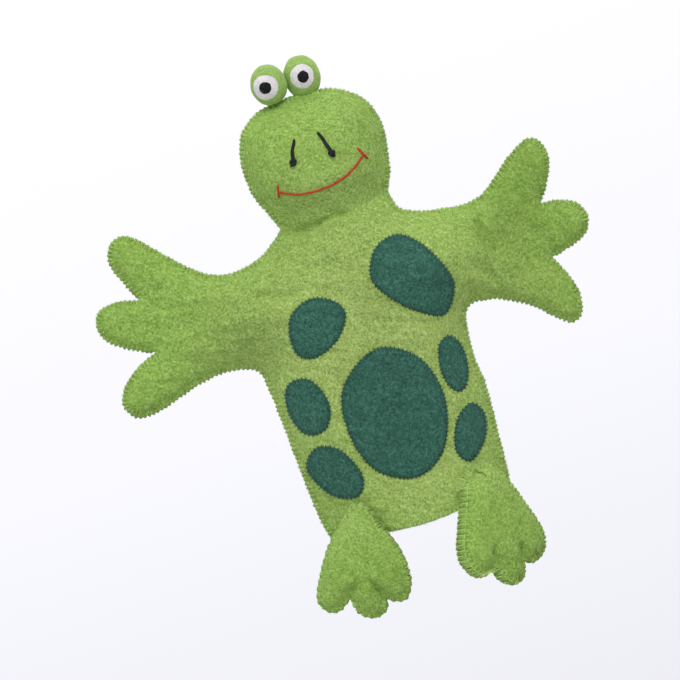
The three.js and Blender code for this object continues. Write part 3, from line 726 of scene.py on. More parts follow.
def panel_mesh(panel, field, side):
    """Both faces of a felt panel as one closed mesh: its points and faces."""
    edge = len(panel.ring)
    gap, phase, hem = panel.edge_facts(panel.points)
    gap[:edge] = 0
    y = outer_height(field, panel.points, gap, phase, hem, panel.square)
    outer = np.stack([panel.points[:, 0], side * y, panel.points[:, 1]], 1)
    gap_i, _, hem_i = panel.edge_facts(panel.lining)
    gap_i[:edge] = 0
    y_i = inner_height(field, panel.lining, gap_i, hem_i)
    lining = np.stack([panel.lining[:, 0], side * y_i, panel.lining[:, 1]], 1)
    points, faces = closed_mesh(outer, lining, panel.faces, panel.lining_faces, edge)
    return points, faces if side < 0 else faces[:, ::-1]


def line_normal(line, side):
    """The start of a cut line, and its unit normal towards the sleeve."""
    a, b = np.array(line[0], float), np.array(line[1], float)
    d = (b - a) / np.linalg.norm(b - a)
    return a, np.array([d[1], -d[0]]) * side


def beyond(xz, line, side):
    """Signed distance past a cut line, positive on the sleeve's side."""
    a, normal = line_normal(line, side)
    return (xz - a) @ normal


def zone_of(xz):
    """Which piece of the body each point belongs to."""
    xz = np.asarray(xz, float).reshape(-1, 2)
    x, z = xz.T
    zone = np.full(len(xz), "body", dtype=object)
    zone[(np.abs(x) < 50) & (z > CHIN_CUT)] = "head"
    left = (beyond(xz, ARM_LINE_LEFT, -1) > 0) & (z > 90) & (x < -40)
    right = (beyond(xz, ARM_LINE_RIGHT, 1) > 0) & (z > 70) & (x > 51.9)
    zone[left] = "arm_left"
    zone[right] = "arm_right"
    zone[left & (x < WRIST_CUTS["left"])] = "paw_left"
    zone[right & (x > WRIST_CUTS["right"])] = "paw_right"
    return zone


def bend(obj, zone):
    """Bakes the placing of a piece into its mesh, the same for every zone."""
    if zone == "body":
        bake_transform(obj)
    elif zone == "head":
        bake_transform(obj)
    elif zone in ("arm_left", "arm_right"):
        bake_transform(obj)
    else:
        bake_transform(obj)


def split(name, points, faces, material, slot):
    """Cuts a mesh into its zones, keeping the shading of the whole."""
    normals = vertex_normals(points, faces)
    middles = points[faces].mean(1)[:, [0, 2]]
    zones = zone_of(middles)
    made = {}
    for zone in sorted(set(zones)):
        chosen = faces[zones == zone]
        used, back_to = np.unique(chosen, return_inverse=True)
        obj = make(name.format(zone), points[used], back_to.reshape(-1, 3), material, slot,
                   normals[used])
        made[zone] = obj
    return made


# ---------------------------------------------------------------- thread


def tube(path, radius, sides=6):
    """A closed tube along a path, its ends drawn in."""
    path = np.asarray(path, float)
    radius = np.broadcast_to(np.asarray(radius, float), (len(path),))
    tangent = np.gradient(path, axis=0)
    tangent /= np.linalg.norm(tangent, axis=1)[:, None] + 1e-9
    across = np.cross(tangent[0], (0.3, 0.2, 0.9))
    points = []
    for p, t, r in zip(path, tangent, radius):
        across = across - t * (across @ t)
        across /= np.linalg.norm(across) + 1e-9
        other = np.cross(t, across)
        angle = np.arange(sides) * 2 * math.pi / sides
        points.append(p + r * (np.cos(angle)[:, None] * across + np.sin(angle)[:, None] * other))
    points = np.vstack(points + [path[:1], path[-1:]])
    faces = []
    n = len(path)
    for i in range(n - 1):
        for k in range(sides):
            m = (k + 1) % sides
            faces.append((i * sides + k, i * sides + m, (i + 1) * sides + m, (i + 1) * sides + k))
    for k in range(sides):
        m = (k + 1) % sides
        faces.append((m, k, n * sides))
        faces.append(((n - 1) * sides + k, (n - 1) * sides + m, n * sides + 1))
    return points, faces


class Threads:
    """Gathers many short lengths of thread into one mesh."""

    def __init__(self):
        self.points, self.faces, self.count = [], [], 0

    def add(self, path, radius, sides=6):
        points, faces = tube(path, radius, sides)
        self.points.append(points)
        self.faces += [tuple(i + self.count for i in f) for f in faces]
        self.count += len(points)

    def make(self, name, material, slot):
        return make(name, np.vstack(self.points), self.faces, material, slot)


STITCH_RADII = np.array([0.45, 0.9, 1, 1, 1, 1, 1, 1, 1, 0.9, 0.45]) * THREAD


def seam_stitch(panel, fields, i, slant=0.4, reach=STITCH_REACH):
    """The path of one whip stitch over the edge of two panels sewn together."""
    p, n, t = panel.ring[i], panel.normal[i], panel.tangent[i]
    reach = reach * (1 + 0.12 * rng.standard_normal())
    lean = slant * (1 + 0.5 * rng.standard_normal())
    shift = 0.12 * rng.standard_normal()
    over = 0.4 + 0.1 * rng.standard_normal()
    path = []
    ins = (reach, reach - 0.5, reach * 0.5, 0.6, over + 0.3, over)
    steps = [(u, -1) for u in ins] + [(u, 1) for u in ins[-2::-1]]
    wall = 0.8 + 0.6 * (panel.square - 2.3)
    middle = seam_wave(p) * (panel.square < 3)
    for k, (u, side) in enumerate(steps):
        along = shift + lean * (k / (len(steps) - 1) * 2 - 1)
        spot = p + n * u + t * along
        if u == over:
            path.append((spot[0], middle, spot[1]))
            continue
        if u == over + 0.3:
            spot = p + n * (over + 0.1) + t * along
            path.append((spot[0], side * wall + middle, spot[1]))
            continue
        field = fields[0] if side < 0 else fields[1]
        y = outer_height(field, spot[None], np.array([u]), np.array([STITCH_PHASE]),
                         np.array([0.0]), panel.square)[0]
        lift = (-0.4, 0.14, 0.26, 0.26)[min(k, len(steps) - 1 - k)]
        path.append((spot[0], side * (y + lift), spot[1]))
    return np.array(path)


HEM_RADII = np.array([0.5, 0.9, 1, 1, 1, 1, 1, 0.9, 0.5]) * THREAD


def hem_stitch(panel, field, i, side):
    """The path of one stitch over the open hem of one panel."""
    p, n, t = panel.ring[i], panel.normal[i], panel.tangent[i]
    lean = 0.3 * (1 + 0.5 * rng.standard_normal())
    path = []
    ins = (2.5, 2.0, 1.2, 0.4, -0.15, 0.4, 1.2, 2.0, 2.5)
    for k, u in enumerate(ins):
        spot = p + n * max(u, -0.15) + t * lean * (k / 4 - 1)
        gap, one = np.array([max(u, 0.0)]), np.array([1.0])
        top = outer_height(field, spot[None], gap, np.array([STITCH_PHASE]), one)[0]
        under = inner_height(field, spot[None], gap, one)[0]
        lift = (-0.35, 0.12, 0.2, 0.2, 0)[min(k, 8 - k)]
        y = top + lift if k < 4 else (top + under) / 2 if k == 4 else under - lift
        path.append((spot[0], side * y, spot[1]))
    return np.array(path)


# ---------------------------------------------------------------- the body

body = Panel(SEWN, HEM)
fields = {"front": front, "back": back}
CAD_OF_ZONE = {
    "body": ("torso", "neck"), "head": ("head",), "arm_left": ("arm_left",),
    "arm_right": ("arm_right",), "paw_left": ("paw_left",), "paw_right": ("paw_right",),
}
for face, field in fields.items():
    points, faces = panel_mesh(body, field, -1 if face == "front" else 1)
    pieces = split("felt_{}_" + face, points, faces, GREEN, "green_felt")
    for zone, obj in pieces.items():
        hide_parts(*[f"{node}_{face}" for node in CAD_OF_ZONE[zone]])
        bend(obj, zone)

# the whip stitches round the sewn edge, and along the open hem
SEAM_NODES = {
    "body": ("side_left", "side_right", "shoulder_left", "shoulder_right"),
    "head": ("head",),
    "arm_left": ("sleeve_top_left", "sleeve_under_left"),
    "arm_right": ("sleeve_top_right", "sleeve_under_right"),
    "paw_left": ("paw_left",), "paw_right": ("paw_right",),
}
zone_at = zone_of(body.ring)
for zone, nodes in SEAM_NODES.items():
    threads = Threads()
    for i in body.stitch_at:
        if zone_at[i] == zone and body.hem[i] == 0:
            threads.add(seam_stitch(body, (front, back), i), STITCH_RADII)
    obj = threads.make(f"stitches_{zone}", GREEN_THREAD, "green_thread")
    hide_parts(*[f"seam_thread_{node}" for node in nodes])
    bend(obj, zone)
for face, field in fields.items():
    threads = Threads()
    for i in body.stitch_at:
        if body.hem[i] == 1:
            threads.add(hem_stitch(body, field, i, -1 if face == "front" else 1), HEM_RADII)
    obj = threads.make(f"stitches_hem_{face}", GREEN_THREAD, "green_thread")
    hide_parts(f"hem_thread_{face}")
    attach(obj, "torso")


def front_surface(xz):
    """Depth of the front of the body at these points, as a positive height."""
    xz = np.asarray(xz, float).reshape(-1, 2)
    gap, _, hem = body.edge_facts(xz)
    return outer_height(front, xz, gap, np.zeros(len(xz)), hem)


# ---------------------------------------------------------------- the spots


def add_spot(name, outline):
    dense = catmull(outline, FINE, closed=True)
    ring, phase = stitched(dense, dense[:1], SPOT_PITCH)
    if np.sum(np.roll(ring[:, 0], -1) * ring[:, 1] - ring[:, 0] * np.roll(ring[:, 1], -1)) < 0:
        ring = ring[::-1]
    normal, tangent = inward(ring)
    dip = np.exp(-((phase - STITCH_PHASE) / 0.18) ** 2)
    wobble = 0.05 * rng.standard_normal(len(ring))
    cut = ring + normal * (0.3 * dip + wobble)[:, None]
    tree = tree_of(ring)
    extra = [ring + normal * 0.55, ring + normal * 1.1, (ring + normal * 1.8)[::2],
             (ring + normal * 2.8)[::2]]
    inner = hexes(ring, 1.7)
    gap, _ = nearest(tree, inner)
    points, faces = fill(cut, np.vstack(extra + [inner[gap > 3.8]]))
    gap, at = nearest(tree, points)
    gap[:len(cut)] = 0
    round_off = np.sqrt(1 - (1 - np.clip(gap / 1.3, 0, 1)) ** 2)
    base = front_surface(points)
    crossed = np.exp(-((phase[at] - STITCH_PHASE) / 0.2) ** 2)
    dent = 0.4 * crossed * (1 - smoothstep(gap, 1.6, 2.6)) * round_off
    thinned = 0.35 * (1 - smoothstep(gap, 1, 3.5)) * round_off
    top = base + 0.12 + (SPOT_FELT - 0.1) * round_off - dent - thinned
    upper = np.stack([points[:, 0], -top, points[:, 1]], 1)
    rough = hexes(ring, 4)
    gap, _ = nearest(tree, rough)
    under, under_faces = fill(cut, rough[gap > 2])
    lower = np.stack([under[:, 0], -(front_surface(under) + 0.08), under[:, 1]], 1)
    obj = make(f"{name}_felt", *closed_mesh(upper, lower, faces, under_faces, len(cut)),
               DARK, "dark_felt")
    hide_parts(name)
    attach(obj, "torso")

    threads = Threads()
    for i in np.where(np.isclose(phase, STITCH_PHASE))[0]:
        lean = 0.3 + 0.2 * rng.standard_normal()
        reach = 2.2 * (1 + 0.12 * rng.standard_normal())
        path = []
        for k, u in enumerate((-0.75, -0.45, -0.05, 0.5, 1.2, reach - 0.3, reach)):
            spot = ring[i] + normal[i] * u + tangent[i] * lean * (k / 3 - 1)
            y = front_surface(spot)[0]
            if u > 0:
                cover = math.sqrt(1 - (1 - min(u / 1.3, 1)) ** 2)
                y += 0.1 + (SPOT_FELT - 0.1) * cover - 0.6 * cover
            y += (-0.3, 0.15, 0.45, 0.3, 0.25, 0.1, -0.35)[k]
            path.append((spot[0], -y, spot[1]))
        threads.add(path, np.array([0.6, 0.9, 1, 1, 1, 0.9, 0.5]) * 0.34)
    obj = threads.make(f"{name}_stitches", DARK_THREAD, "dark_thread")
    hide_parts(f"{name}_thread")
    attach(obj, "torso")


for name, outline in SPOTS.items():
    add_spot(name, outline)

# ---------------------------------------------------------------- the face


def laid(points, step, lift):
    """A path laid on the front of the felt."""
    line = catmull(points, step)
    line = np.vstack([line, points[-1]])
    y = front_surface(line) + lift
    return np.stack([line[:, 0], -y, line[:, 1]], 1)


def add_nostril(side, points):
    threads = Threads()
    path = laid(points, 0.8, 0.35)
    along = np.linspace(0, 1, len(path))
    path[:, 1] += 0.9 * (np.exp(-(along / 0.06) ** 2) + np.exp(-((1 - along) / 0.06) ** 2))
    path[:, 0] += 0.12 * np.sin(along * 9)
    radius = 0.8 + 0.32 * along + 0.05 * np.sin(along * 40)
    threads.add(path, radius, 10)
    middle = laid(points, 0.8, 1.3)[-1] + (0.1, 0, -0.2)
    turns = np.linspace(0, 2 * math.pi, 60)
    knot = np.stack([np.sin(turns) + 2 * np.sin(2 * turns), -0.8 * np.sin(3 * turns),
                     np.cos(turns) - 2 * np.cos(2 * turns)], 1) * 0.5
    threads.add(middle + knot, 0.72, 8)
    tail = np.array([(0.3, 0.2, -0.4), (1.3, 0.3, -1.0), (1.9, 0.9, -1.5), (2.0, 1.6, -1.8)])
    tail[:, 0] *= -1 if side == "left" else 0.6
    threads.add(middle + tail, (0.45, 0.5, 0.45, 0.3), 6)
    obj = threads.make(f"nostril_stitch_{side}", BLACK_THREAD, "black_thread")
    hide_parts(f"nostril_thread_{side}")
    bend(obj, "head")


for side, points in NOSTRILS.items():
    add_nostril(side, points)


def add_mouth():
    threads = Threads()
    whole = laid(MOUTH, 0.5, 0.0)
    count = 12
    per = (len(whole) - 1) / count
    for k in range(count):
        a, b = int(round(k * per)), int(round((k + 1) * per)) + 2
        part = whole[max(a - 1, 0):min(b, len(whole))].copy()
        t = np.linspace(0, 1, len(part))
        part[:, 1] -= 0.34 - 0.55 * (2 * t - 1) ** 6
        sway = 0.12 if k % 2 else -0.12
        part[:, 2] += sway * np.sin(t * math.pi) + 0.04 * rng.standard_normal()
        threads.add(part, 0.6 * (1 - 0.35 * (2 * t - 1) ** 8), 8)
    for ends in MOUTH_ENDS:
        part = laid(ends, 0.6, 0.25)
        t = np.linspace(0, 1, len(part))
        part[:, 1] += 0.6 * (2 * t - 1) ** 8
        threads.add(part, 0.62 * (1 - 0.3 * (2 * t - 1) ** 8), 8)
        twin = part[len(part) // 5:] + (0.35, -0.15, 0.1)
        threads.add(twin, 0.4, 6)
    obj = threads.make("mouth_stitches", RED_THREAD, "red_thread")
    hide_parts("mouth_thread")
    bend(obj, "head")


add_mouth()

# ---------------------------------------------------------------- the eyes


def felted(points, centre, seed, size=1.0):
    """Moves points in and out a little, as the surface of needled wool is."""
    moved = []
    for p in points:
        out = Vector(p - centre).normalized()
        q = Vector(p) + Vector((seed, 0, 0))
        bump = (0.28 * noise.noise(q * 0.22) + 0.12 * noise.noise(q * 0.7)
                + 0.06 * noise.noise(q * 1.9))
        moved.append(p + np.array(out) * bump * size)
    return np.array(moved)


def ball(radius_x, radius_z, rings=56, around=96):
    points = [(0, 0, radius_z)]
    for i in range(1, rings):
        a = math.pi * i / rings
        for k in range(around):
            b = 2 * math.pi * k / around
            points.append((radius_x * math.sin(a) * math.cos(b),
                           radius_x * math.sin(a) * math.sin(b), radius_z * math.cos(a)))
    points.append((0, 0, -radius_z))
    faces = [(0, 1 + k, 1 + (k + 1) % around) for k in range(around)]
    for i in range(rings - 2):
        for k in range(around):
            a, b = 1 + i * around + k, 1 + i * around + (k + 1) % around
            faces.append((a, a + around, b + around, b))
    last = 1 + (rings - 2) * around
    faces += [(last + k, len(points) - 1, last + (k + 1) % around) for k in range(around)]
    return np.array(points), faces


def dome(radius, thickness, base, seed, rough=0.05, lump=0.12):
    """A felt disc laid on an ellipsoid, facing -y. base gives the surface under a point."""
    rings, around = 18, 72
    points, faces = [], []
    for side in (0, 1):
        for i in range(1, rings + 1):
            r = math.sin(math.pi / 2 * i / rings)
            for k in range(around):
                b = 2 * math.pi * k / around
                cos_b, sin_b = math.cos(b), math.sin(b)
                slow = noise.noise(Vector((cos_b * 1.6, sin_b * 1.6, seed)))
                fast = noise.noise(Vector((cos_b * 5, sin_b * 5, seed + 3)))
                edge = radius * (1 + rough * slow + rough * 0.5 * fast)
                x, z = r * edge * cos_b, r * edge * sin_b
                if side == 0:
                    lumps = lump * noise.noise(Vector((x * 0.6, z * 0.6, seed))) * (1 - r)
                    swell = thickness * math.sqrt(max(0, 1 - r ** 4)) + lumps
                else:
                    swell = -0.2 * (1 - r)
                points.append((x, base(x, z) - swell, z))
        points.append((0, base(0, 0) - (thickness if side == 0 else -0.2), 0))
    per = rings * around + 1
    for side in (0, 1):
        start = side * per
        tri, quad = [], []
        for k in range(around):
            m = (k + 1) % around
            tri.append((start + per - 1, start + k, start + m))
            for i in range(rings - 1):
                a, b = start + i * around + k, start + i * around + m
                c, d = b + around, a + around
                quad.append((a, d, c, b))
        group = tri + quad
        faces += [f[::-1] for f in group] if side == 1 else group
    # the two faces share their rim
    rim0, rim1 = (rings - 1) * around, per + (rings - 1) * around
    remap = {rim1 + k: rim0 + k for k in range(around)}
    faces = [tuple(remap.get(i, i) for i in f) for f in faces]
    used = sorted({i for f in faces for i in f})
    order = {old: new for new, old in enumerate(used)}
    points = np.array([points[i] for i in used])
    return points, [tuple(order[i] for i in f) for f in faces]


def add_eye(side, facts, seed):
    rx, rz = facts["half"]
    centre = np.array(facts["at"], float)
    points, faces = ball(rx, rz)
    # settled on the top of the head
    low = -rz + 0.9
    points[:, 2] = np.where(points[:, 2] < low, low - 0.25 * (low - points[:, 2]), points[:, 2])
    points = felted(points, np.zeros(3), seed)
    obj = make(f"eye_ball_{side}", points + centre, faces, EYE_GREEN, "green_felt")
    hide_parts(f"eye_{side}")
    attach(obj, "head")

    def surface(grow):
        a, b = rx + grow, rz + grow

        def base(px, pz):
            return -a * math.sqrt(max(0.0, 1 - (px / a) ** 2 - (pz / b) ** 2))
        return base

    for label, thickness, grow, material, slot, node in (
        ("white", 0.7, 0.0, WHITE, "white_wool", "eye_white"),
        ("pupil", 0.75, 0.55, BLACK, "black_wool", "pupil"),
    ):
        turn, down, radius = facts[label]
        rough = 0.04 if label == "white" else 0.1
        points, faces = dome(radius, thickness, surface(grow), seed + len(label), rough)
        turned = np.array(Euler((math.radians(down), 0, math.radians(turn))).to_matrix())
        points = points @ turned.T + centre
        obj = make(f"eye_{label}_felt_{side}", points, faces, material, slot)
        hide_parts(f"{node}_{side}")
        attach(obj, "head")


for number, (side, facts) in enumerate(EYES.items()):
    add_eye(side, facts, 11.0 + 7 * number)

# ---------------------------------------------------------------- the head's filling


def add_filling():
    ring = catmull(HEAD_STUFFING, 1.2, closed=True)
    tree = tree_of(ring)
    inner = hexes(ring, 2.4)
    gap, _ = nearest(tree, inner)
    points, faces = fill(ring, inner[gap > 1.4])
    gap, _ = nearest(tree, points)
    gap[:len(ring)] = 0
    round_off = np.sqrt(1 - (1 - np.clip(gap / 7, 0, 1)) ** 2)
    sides = []
    for field, side in ((front, -1), (back, 1)):
        y = (field.at(points) - 0.3) * round_off
        sides.append(np.stack([points[:, 0], side * np.maximum(y, 0), points[:, 1]], 1))
    obj = make("head_filling", *closed_mesh(*sides, faces, faces, len(ring)), FILLING, "stuffing")
    x, radius, top = FINGER["x"], FINGER["radius"], FINGER["top"]
    cutter_points, cutter_faces = ball(radius, radius * 1.3, 24, 40)
    cutter_points[:, 2] += top - radius * 1.3
    lower = cutter_points[:, 2] < top - radius * 1.3
    cutter_points[lower, 2] -= 60
    cutter_points[:, 0] += x
    cutter = make("finger_cutter", cutter_points, cutter_faces, FILLING, "stuffing")
    boolean = obj.modifiers.new("channel", "BOOLEAN")
    boolean.operation, boolean.object, boolean.solver = "DIFFERENCE", cutter, "EXACT"
    bpy.context.view_layer.update()
    mesh = bpy.data.meshes.new_from_object(obj.evaluated_get(bpy.context.evaluated_depsgraph_get()))
    obj.modifiers.clear()
    obj.data = mesh
    for vertex in mesh.vertices:
        q = vertex.co * 1000
        vertex.co += vertex.normal * 0.0007 * noise.noise(q * 0.25)
    bpy.data.objects.remove(cutter)
    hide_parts("head_stuffing")
    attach(obj, "head")


add_filling()

# ---------------------------------------------------------------- the feet


FOOT_SQUARE = 3.6  # a foot's edge is steeper than the body's
# a tack over the top of a foot: how far out from its edge, and how deep
TACK = ((-2.3, -4.2), (-1.7, -4.75), (-0.6, -4.3), (0.2, -2.8), (0.6, -1.4), (0.8, -0.3))
TACK_RADII = np.array([0.5, 1, 1, 1, 0.9, 0.5]) * THREAD * 0.95


def foot_field(foot, ring, crease):
    (x0, z0), (x1, z1) = np.floor(ring.min(0)) - 4, np.ceil(ring.max(0)) + 4
    field = Field(x0, x1, z0, z1)
    distance_field(field, np.vstack([ring, ring[:1]]), ring)
    t = np.clip((field.d - 1.6) / 9, 0, 1)
    field.h = field.blurred(foot["crown"] * np.sin(t * math.pi / 2), 0.9)
    field.h += (field.lumps(5, 0.22) + field.lumps(2.2, 0.1)) * np.clip(field.d / 6, 0, 1)
    for line in foot["creases"]:
        gap, along = to_line(field.xz, line)
        field.h += crease * np.exp(-(gap / 1.5) ** 2) * (1 - smoothstep(along, 0.45, 1)) * (
            np.minimum(field.d / 1.5, 1))
    field.h = np.maximum(field.h, 0)
    return field


def settle(points, foot, panel, field):
    """Brings the sewn top of a foot back against the body, from the foot's middle plane, and
    sets the front layer in from its left edge by the foot's lean."""
    xz = points[:, [0, 2]].copy()
    gap, phase, hem = panel.edge_facts(xz)
    gap = np.where(inside(panel.ring, xz), gap, 0)
    behind = outer_height(field, xz, gap, phase, hem, panel.square)
    points[:, 0] -= foot["lean"] * np.minimum(points[:, 1], 0) * (
        (1 - smoothstep(gap, 2, 9)) * (panel.normal[nearest(panel.tree, xz)[1]][:, 0] > 0.3))
    points[:, 1] += np.maximum(FOOT_SET - FOOT_GAP - behind, 0) * smoothstep(points[:, 2], -15, -2)
    return points


def add_foot(name, foot):
    clockwise = [stretch[::-1] for stretch in foot["outline"][::-1]]
    panel = Panel(clockwise, None, foot["pitch"], 1.2, 1.2, FOOT_SQUARE)
    place = (Matrix.Translation(Vector(foot["hinge"]) / 1000)
             @ Matrix.Rotation(math.radians(foot["yaw"]), 4, "Z")
             @ Matrix.Translation((0, -FOOT_SET / 1000, 0)))
    halves = [foot_field(foot, panel.ring, crease) for crease in CREASE_HEIGHTS]
    for face, side, field in zip(("front", "back"), (-1, 1), halves):
        points, faces = panel_mesh(panel, field, side)
        points = settle(points, foot, panel, halves[1])
        obj = make(f"foot_{name}_felt_{face}", points, faces, GREEN, "green_felt")
        obj.matrix_world = place
        extra = (f"foot_{name}_stuffing",) if face == "front" else ()
        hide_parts(f"foot_{name}_{face}", *extra)
        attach(obj, f"foot_{name}")
    threads = Threads()
    for i in panel.stitch_at:
        path = settle(seam_stitch(panel, halves, i), foot, panel, halves[1])
        threads.add(path, STITCH_RADII * 0.95)
        if panel.ring[i][1] > -9:
            # the top is also tacked down to the body
            out, along = -panel.normal[i], panel.tangent[i]
            for shift in np.arange(-0.42, 0.43, 0.84 / foot["pitch"]) * foot["pitch"]:
                base = panel.ring[i] + along * (shift + 0.15 * rng.standard_normal())
                tack = []
                for u, y in TACK:
                    spot = base + out * u + along * 0.35 * u
                    tack.append((spot[0], y + FOOT_SET - FOOT_GAP, spot[1]))
                threads.add(tack, TACK_RADII)
    if foot["lean"]:
        # a running thread along the front corner of the edge that shows
        run = panel.ring[(panel.ring[:, 0] < 0) & (panel.ring[:, 1] < -7)
                         & (panel.normal[:, 0] > 0.25)]
        run = run[np.argsort(-run[:, 1])]
        for part in np.array_split(run, len(run) // 6):
            gap = np.full(len(part), 0.35)
            inner = part + panel.normal[nearest(panel.tree, part)[1]] * 0.35
            y = outer_height(halves[0], inner, gap, np.zeros(len(part)), np.zeros(len(part)),
                             panel.square) + 0.2
            path = np.stack([inner[:, 0], -y, inner[:, 1]], 1)
            threads.add(settle(path, foot, panel, halves[1]), THREAD)
    obj = threads.make(f"foot_{name}_stitches", GREEN_THREAD, "green_thread")
    obj.matrix_world = place
    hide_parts(f"foot_{name}_thread")
    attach(obj, f"foot_{name}")


for name, foot in FEET.items():
    add_foot(name, foot)

# ---------------------------------------------------------------- loose fibres

FUZZ = wool("loose_fibres", (0.36, 0.56, 0.12), (0.55, 0.76, 0.28), (0.2, 0.36, 0.05),
            (0.4, 0.55, 0.14), contrast=0.5, bump=0.0, sheen=0.4)


def fibres(roots, outs, name, length, radius):
    """Thin curled fibres, each rooted in the felt and bent over."""
    count = len(roots)
    sideways = rng.standard_normal((count, 3))
    sideways -= outs * np.sum(sideways * outs, 1)[:, None]
    sideways /= np.linalg.norm(sideways, axis=1)[:, None]
    curl = np.cross(outs, sideways) * rng.uniform(-0.6, 0.6, (count, 1))
    reach = length * rng.uniform(0.5, 1.0, (count, 1))
    rise = rng.uniform(0.25, 0.85, (count, 1))
    spine = []
    for t in (0.0, 0.33, 0.67, 1.0):
        along = sideways * t + curl * t * t
        spine.append(roots + reach * (along + outs * rise * (1.6 * t - 0.9 * t * t)) - outs * 0.25)
    spine = np.stack(spine, 1)
    tangent = np.gradient(spine, axis=1)
    tangent /= np.linalg.norm(tangent, axis=2)[:, :, None]
    first = np.cross(tangent, outs[:, None])
    first /= np.linalg.norm(first, axis=2)[:, :, None] + 1e-9
    second = np.cross(tangent, first)
    width = radius * np.array([1, 1, 0.8, 0.35])[None, :, None]
    corners = [spine + width * (math.cos(a) * first + math.sin(a) * second)
               for a in (0, 2 * math.pi / 3, 4 * math.pi / 3)]
    points = np.stack(corners, 2).reshape(-1, 3)
    one = [(0, 2, 1), (9, 10, 11)]
    for k in range(3):
        for m in range(3):
            n = (m + 1) % 3
            one.append((3 * k + m, 3 * k + n, 3 * k + 3 + n, 3 * k + 3 + m))
    faces = [tuple(i + 12 * f for i in face) for f in range(count) for face in one]
    return make(name, points, faces, FUZZ, "green_felt")


RIM_FIBRES = 2600
FUZZY_ABOVE = 26  # the front is left smooth below this height, where the feet hang


def add_body_fuzz():
    inner = hexes(body.ring, 3.0)
    inner = inner + rng.uniform(-1.4, 1.4, inner.shape)
    inner = inner[inside(body.ring, inner)]
    edge = body.ring[rng.integers(0, len(body.ring), RIM_FIBRES)]
    edge_at = nearest(body.tree, edge)[1]
    zones = zone_of(inner)
    for zone in CAD_OF_ZONE:
        roots, outs = [], []
        for field, side in ((front, -1), (back, 1)):
            xz = inner[(zones == zone) & ((inner[:, 1] > FUZZY_ABOVE) | (side > 0))]
            gap, _, hem = body.edge_facts(xz)
            y = outer_height(field, xz, gap, np.zeros(len(xz)), hem)
            roots.append(np.stack([xz[:, 0], side * y, xz[:, 1]], 1))
            slope = [(field.at(xz + step) - field.at(xz - step)) / 2
                     for step in (np.array([1.0, 0]), np.array([0, 1.0]))]
            normal = np.stack([-slope[0], np.ones(len(xz)), -slope[1]], 1)
            normal[:, 1] *= side
            outs.append(normal)
        chosen = zone_of(edge) == zone
        rim, out = edge[chosen], -body.normal[edge_at[chosen]]
        depth = rng.uniform(-2.2, 2.2, len(rim))
        depth += np.where(body.hem[edge_at[chosen]] > 0, front.at(rim) * np.sign(depth), 0)
        foot = rim - 0.2 * out
        roots.append(np.stack([foot[:, 0], depth, foot[:, 1]], 1))
        outs.append(np.stack([out[:, 0], depth * 0.2, out[:, 1]], 1))
        roots, outs = np.vstack(roots), np.vstack(outs)
        outs /= np.linalg.norm(outs, axis=1)[:, None]
        obj = fibres(roots, outs, f"fuzz_{zone}", 2.2, 0.04)
        bend(obj, zone)


add_body_fuzz()

# ---------------------------------------------------------------- room, light and camera


def pale_surface(name):
    """Matt studio paper that glows: painted light, a little greyer towards the floor and dimmer on
    the camera's side.
    """
    material = bpy.data.materials.new(name)
    material.use_nodes = True
    nodes, links = material.node_tree.nodes, material.node_tree.links
    shader = nodes["Principled BSDF"]
    shader.inputs["Base Color"].default_value = (0.12, 0.12, 0.125, 1)
    shader.inputs["Roughness"].default_value = 1.0
    shader.inputs["Specular IOR Level"].default_value = 0.0
    shader.inputs["Emission Strength"].default_value = 1.0
    where = nodes.new("ShaderNodeTexCoord")
    axes = nodes.new("ShaderNodeSeparateXYZ")
    links.new(where.outputs["Object"], axes.inputs[0])
    height = range_node(nodes, -0.7, 0.9)
    links.new(axes.outputs["Z"], height.inputs["Value"])
    shades = ramp(nodes, [(0.0, (0.76, 0.76, 0.81)), (0.45, (0.88, 0.88, 0.93)),
                         (0.85, (0.95, 0.94, 1.0))])
    links.new(height.outputs["Result"], shades.inputs["Fac"])
    # painted light: the glow fades on the camera's side of the room
    near_side = range_node(nodes, -2.6, 2.4, 0.3, 1.0)
    links.new(axes.outputs["Y"], near_side.inputs["Value"])
    glow = nodes.new("ShaderNodeVectorMath")
    glow.operation = "SCALE"
    links.new(shades.outputs["Color"], glow.inputs[0])
    links.new(near_side.outputs["Result"], glow.inputs["Scale"])
    links.new(glow.outputs["Vector"], shader.inputs["Emission Color"])
    return material


def add_room():
    """A pale floor that curves up into a round wall."""
    floor, radius, curve, top = -2750, 5000, 1200, 5200
    profile = [(r, floor) for r in np.linspace(0, radius - curve, 10)]
    profile += [(radius - curve + curve * math.sin(a), floor + curve * (1 - math.cos(a)))
                for a in np.linspace(0, math.pi / 2, 14)[1:]]
    profile += [(radius, z) for z in np.linspace(floor + curve, top, 8)[1:]]
    around = 96
    points = [(0, 0, floor)]
    for r, z in profile[1:]:
        for k in range(around):
            angle = 2 * math.pi * k / around
            points.append((r * math.cos(angle), r * math.sin(angle), z))
    faces = [(0, 1 + k, 1 + (k + 1) % around) for k in range(around)]
    for i in range(len(profile) - 2):
        for k in range(around):
            a, b = 1 + i * around + k, 1 + i * around + (k + 1) % around
            faces.append((a, a + around, b + around, b))
    mesh = bpy.data.meshes.new("room")
    mesh.from_pydata([tuple(v / 1000 for v in p) for p in points], [], faces)
    mesh.polygons.foreach_set("use_smooth", [True] * len(mesh.polygons))
    mesh.materials.append(pale_surface("studio_paper"))
    room = bpy.data.objects.new("room", mesh)
    bpy.context.scene.collection.objects.link(room)


add_room()


def hang(data, place, aim):
    """Puts a lamp in the scene and points it at a place."""
    light = bpy.data.objects.new(data.name, data)
    light.location = place
    light.rotation_euler = (Vector(aim) - Vector(place)).to_track_quat("-Z", "Y").to_euler()
    bpy.context.scene.collection.objects.link(light)


WAIST = (0, 0, 0.1)
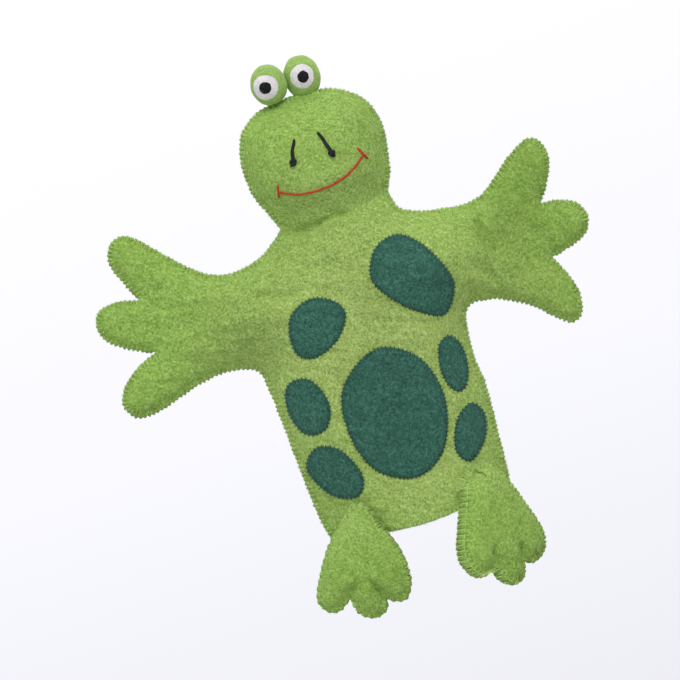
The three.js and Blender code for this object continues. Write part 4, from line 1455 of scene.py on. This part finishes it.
# name: place, side in metres, watts, colour
PANEL_LIGHTS = {
    "key": ((0.4, -1.4, 1.5), 0.8, 17, (1.0, 0.99, 0.97)),
    "fill": ((-1.2, -1.6, -0.25), 1.2, 8.5, (0.96, 0.98, 1.0)),
    "top": ((0.1, 0.3, 1.7), 1.0, 6, (1, 1, 1)),
    "rear": ((0.6, 1.6, 0.9), 1.0, 8, (1, 1, 1)),
}
for name, (place, size, power, colour) in PANEL_LIGHTS.items():
    data = bpy.data.lights.new(name, "AREA")
    data.shape, data.size, data.size_y = "RECTANGLE", size, size
    data.energy, data.color = power, colour
    hang(data, place, WAIST)

# name: place, where it points, watts, cone in degrees
POOLS = {
    "chest_pool": ((0.15, -1.6, 0.75), (0.003, 0, 0.1), 50, 10),
    "head_pool": ((0.9, -1.35, 0.8), (0.016, 0, 0.213), 53, 7),
    "low_pool": ((0.3, -1.6, 0.5), (0.017, 0, 0.0), 42, 8),
}
for name, (place, aim, power, cone) in POOLS.items():
    data = bpy.data.lights.new(name, "SPOT")
    data.energy, data.spot_size, data.spot_blend = power, math.radians(cone), 1
    data.shadow_soft_size = 0.25
    hang(data, place, aim)

world = bpy.data.worlds.new("room_light")
world.use_nodes = True
world.node_tree.nodes["Background"].inputs["Color"].default_value = (0.93, 0.94, 1, 1)
world.node_tree.nodes["Background"].inputs["Strength"].default_value = 0.33
bpy.context.scene.world = world
bpy.context.scene.view_settings.view_transform = "Standard"

LEAN = math.radians(18)
camera_data = bpy.data.cameras.new("camera")
camera_data.lens, camera_data.sensor_width, camera_data.clip_end = 250, 36, 100
camera = bpy.data.objects.new("camera", camera_data)
right = Vector((math.cos(LEAN), 0, -math.sin(LEAN)))
up = Vector((math.sin(LEAN), 0, math.cos(LEAN)))
away = Vector((0, -1, 0))
turn = Matrix((right, up, away)).transposed().to_4x4()
camera.matrix_world = Matrix.Translation((-0.01565, -2.503, 0.10486)) @ turn
bpy.context.scene.collection.objects.link(camera)
bpy.context.scene.camera = camera
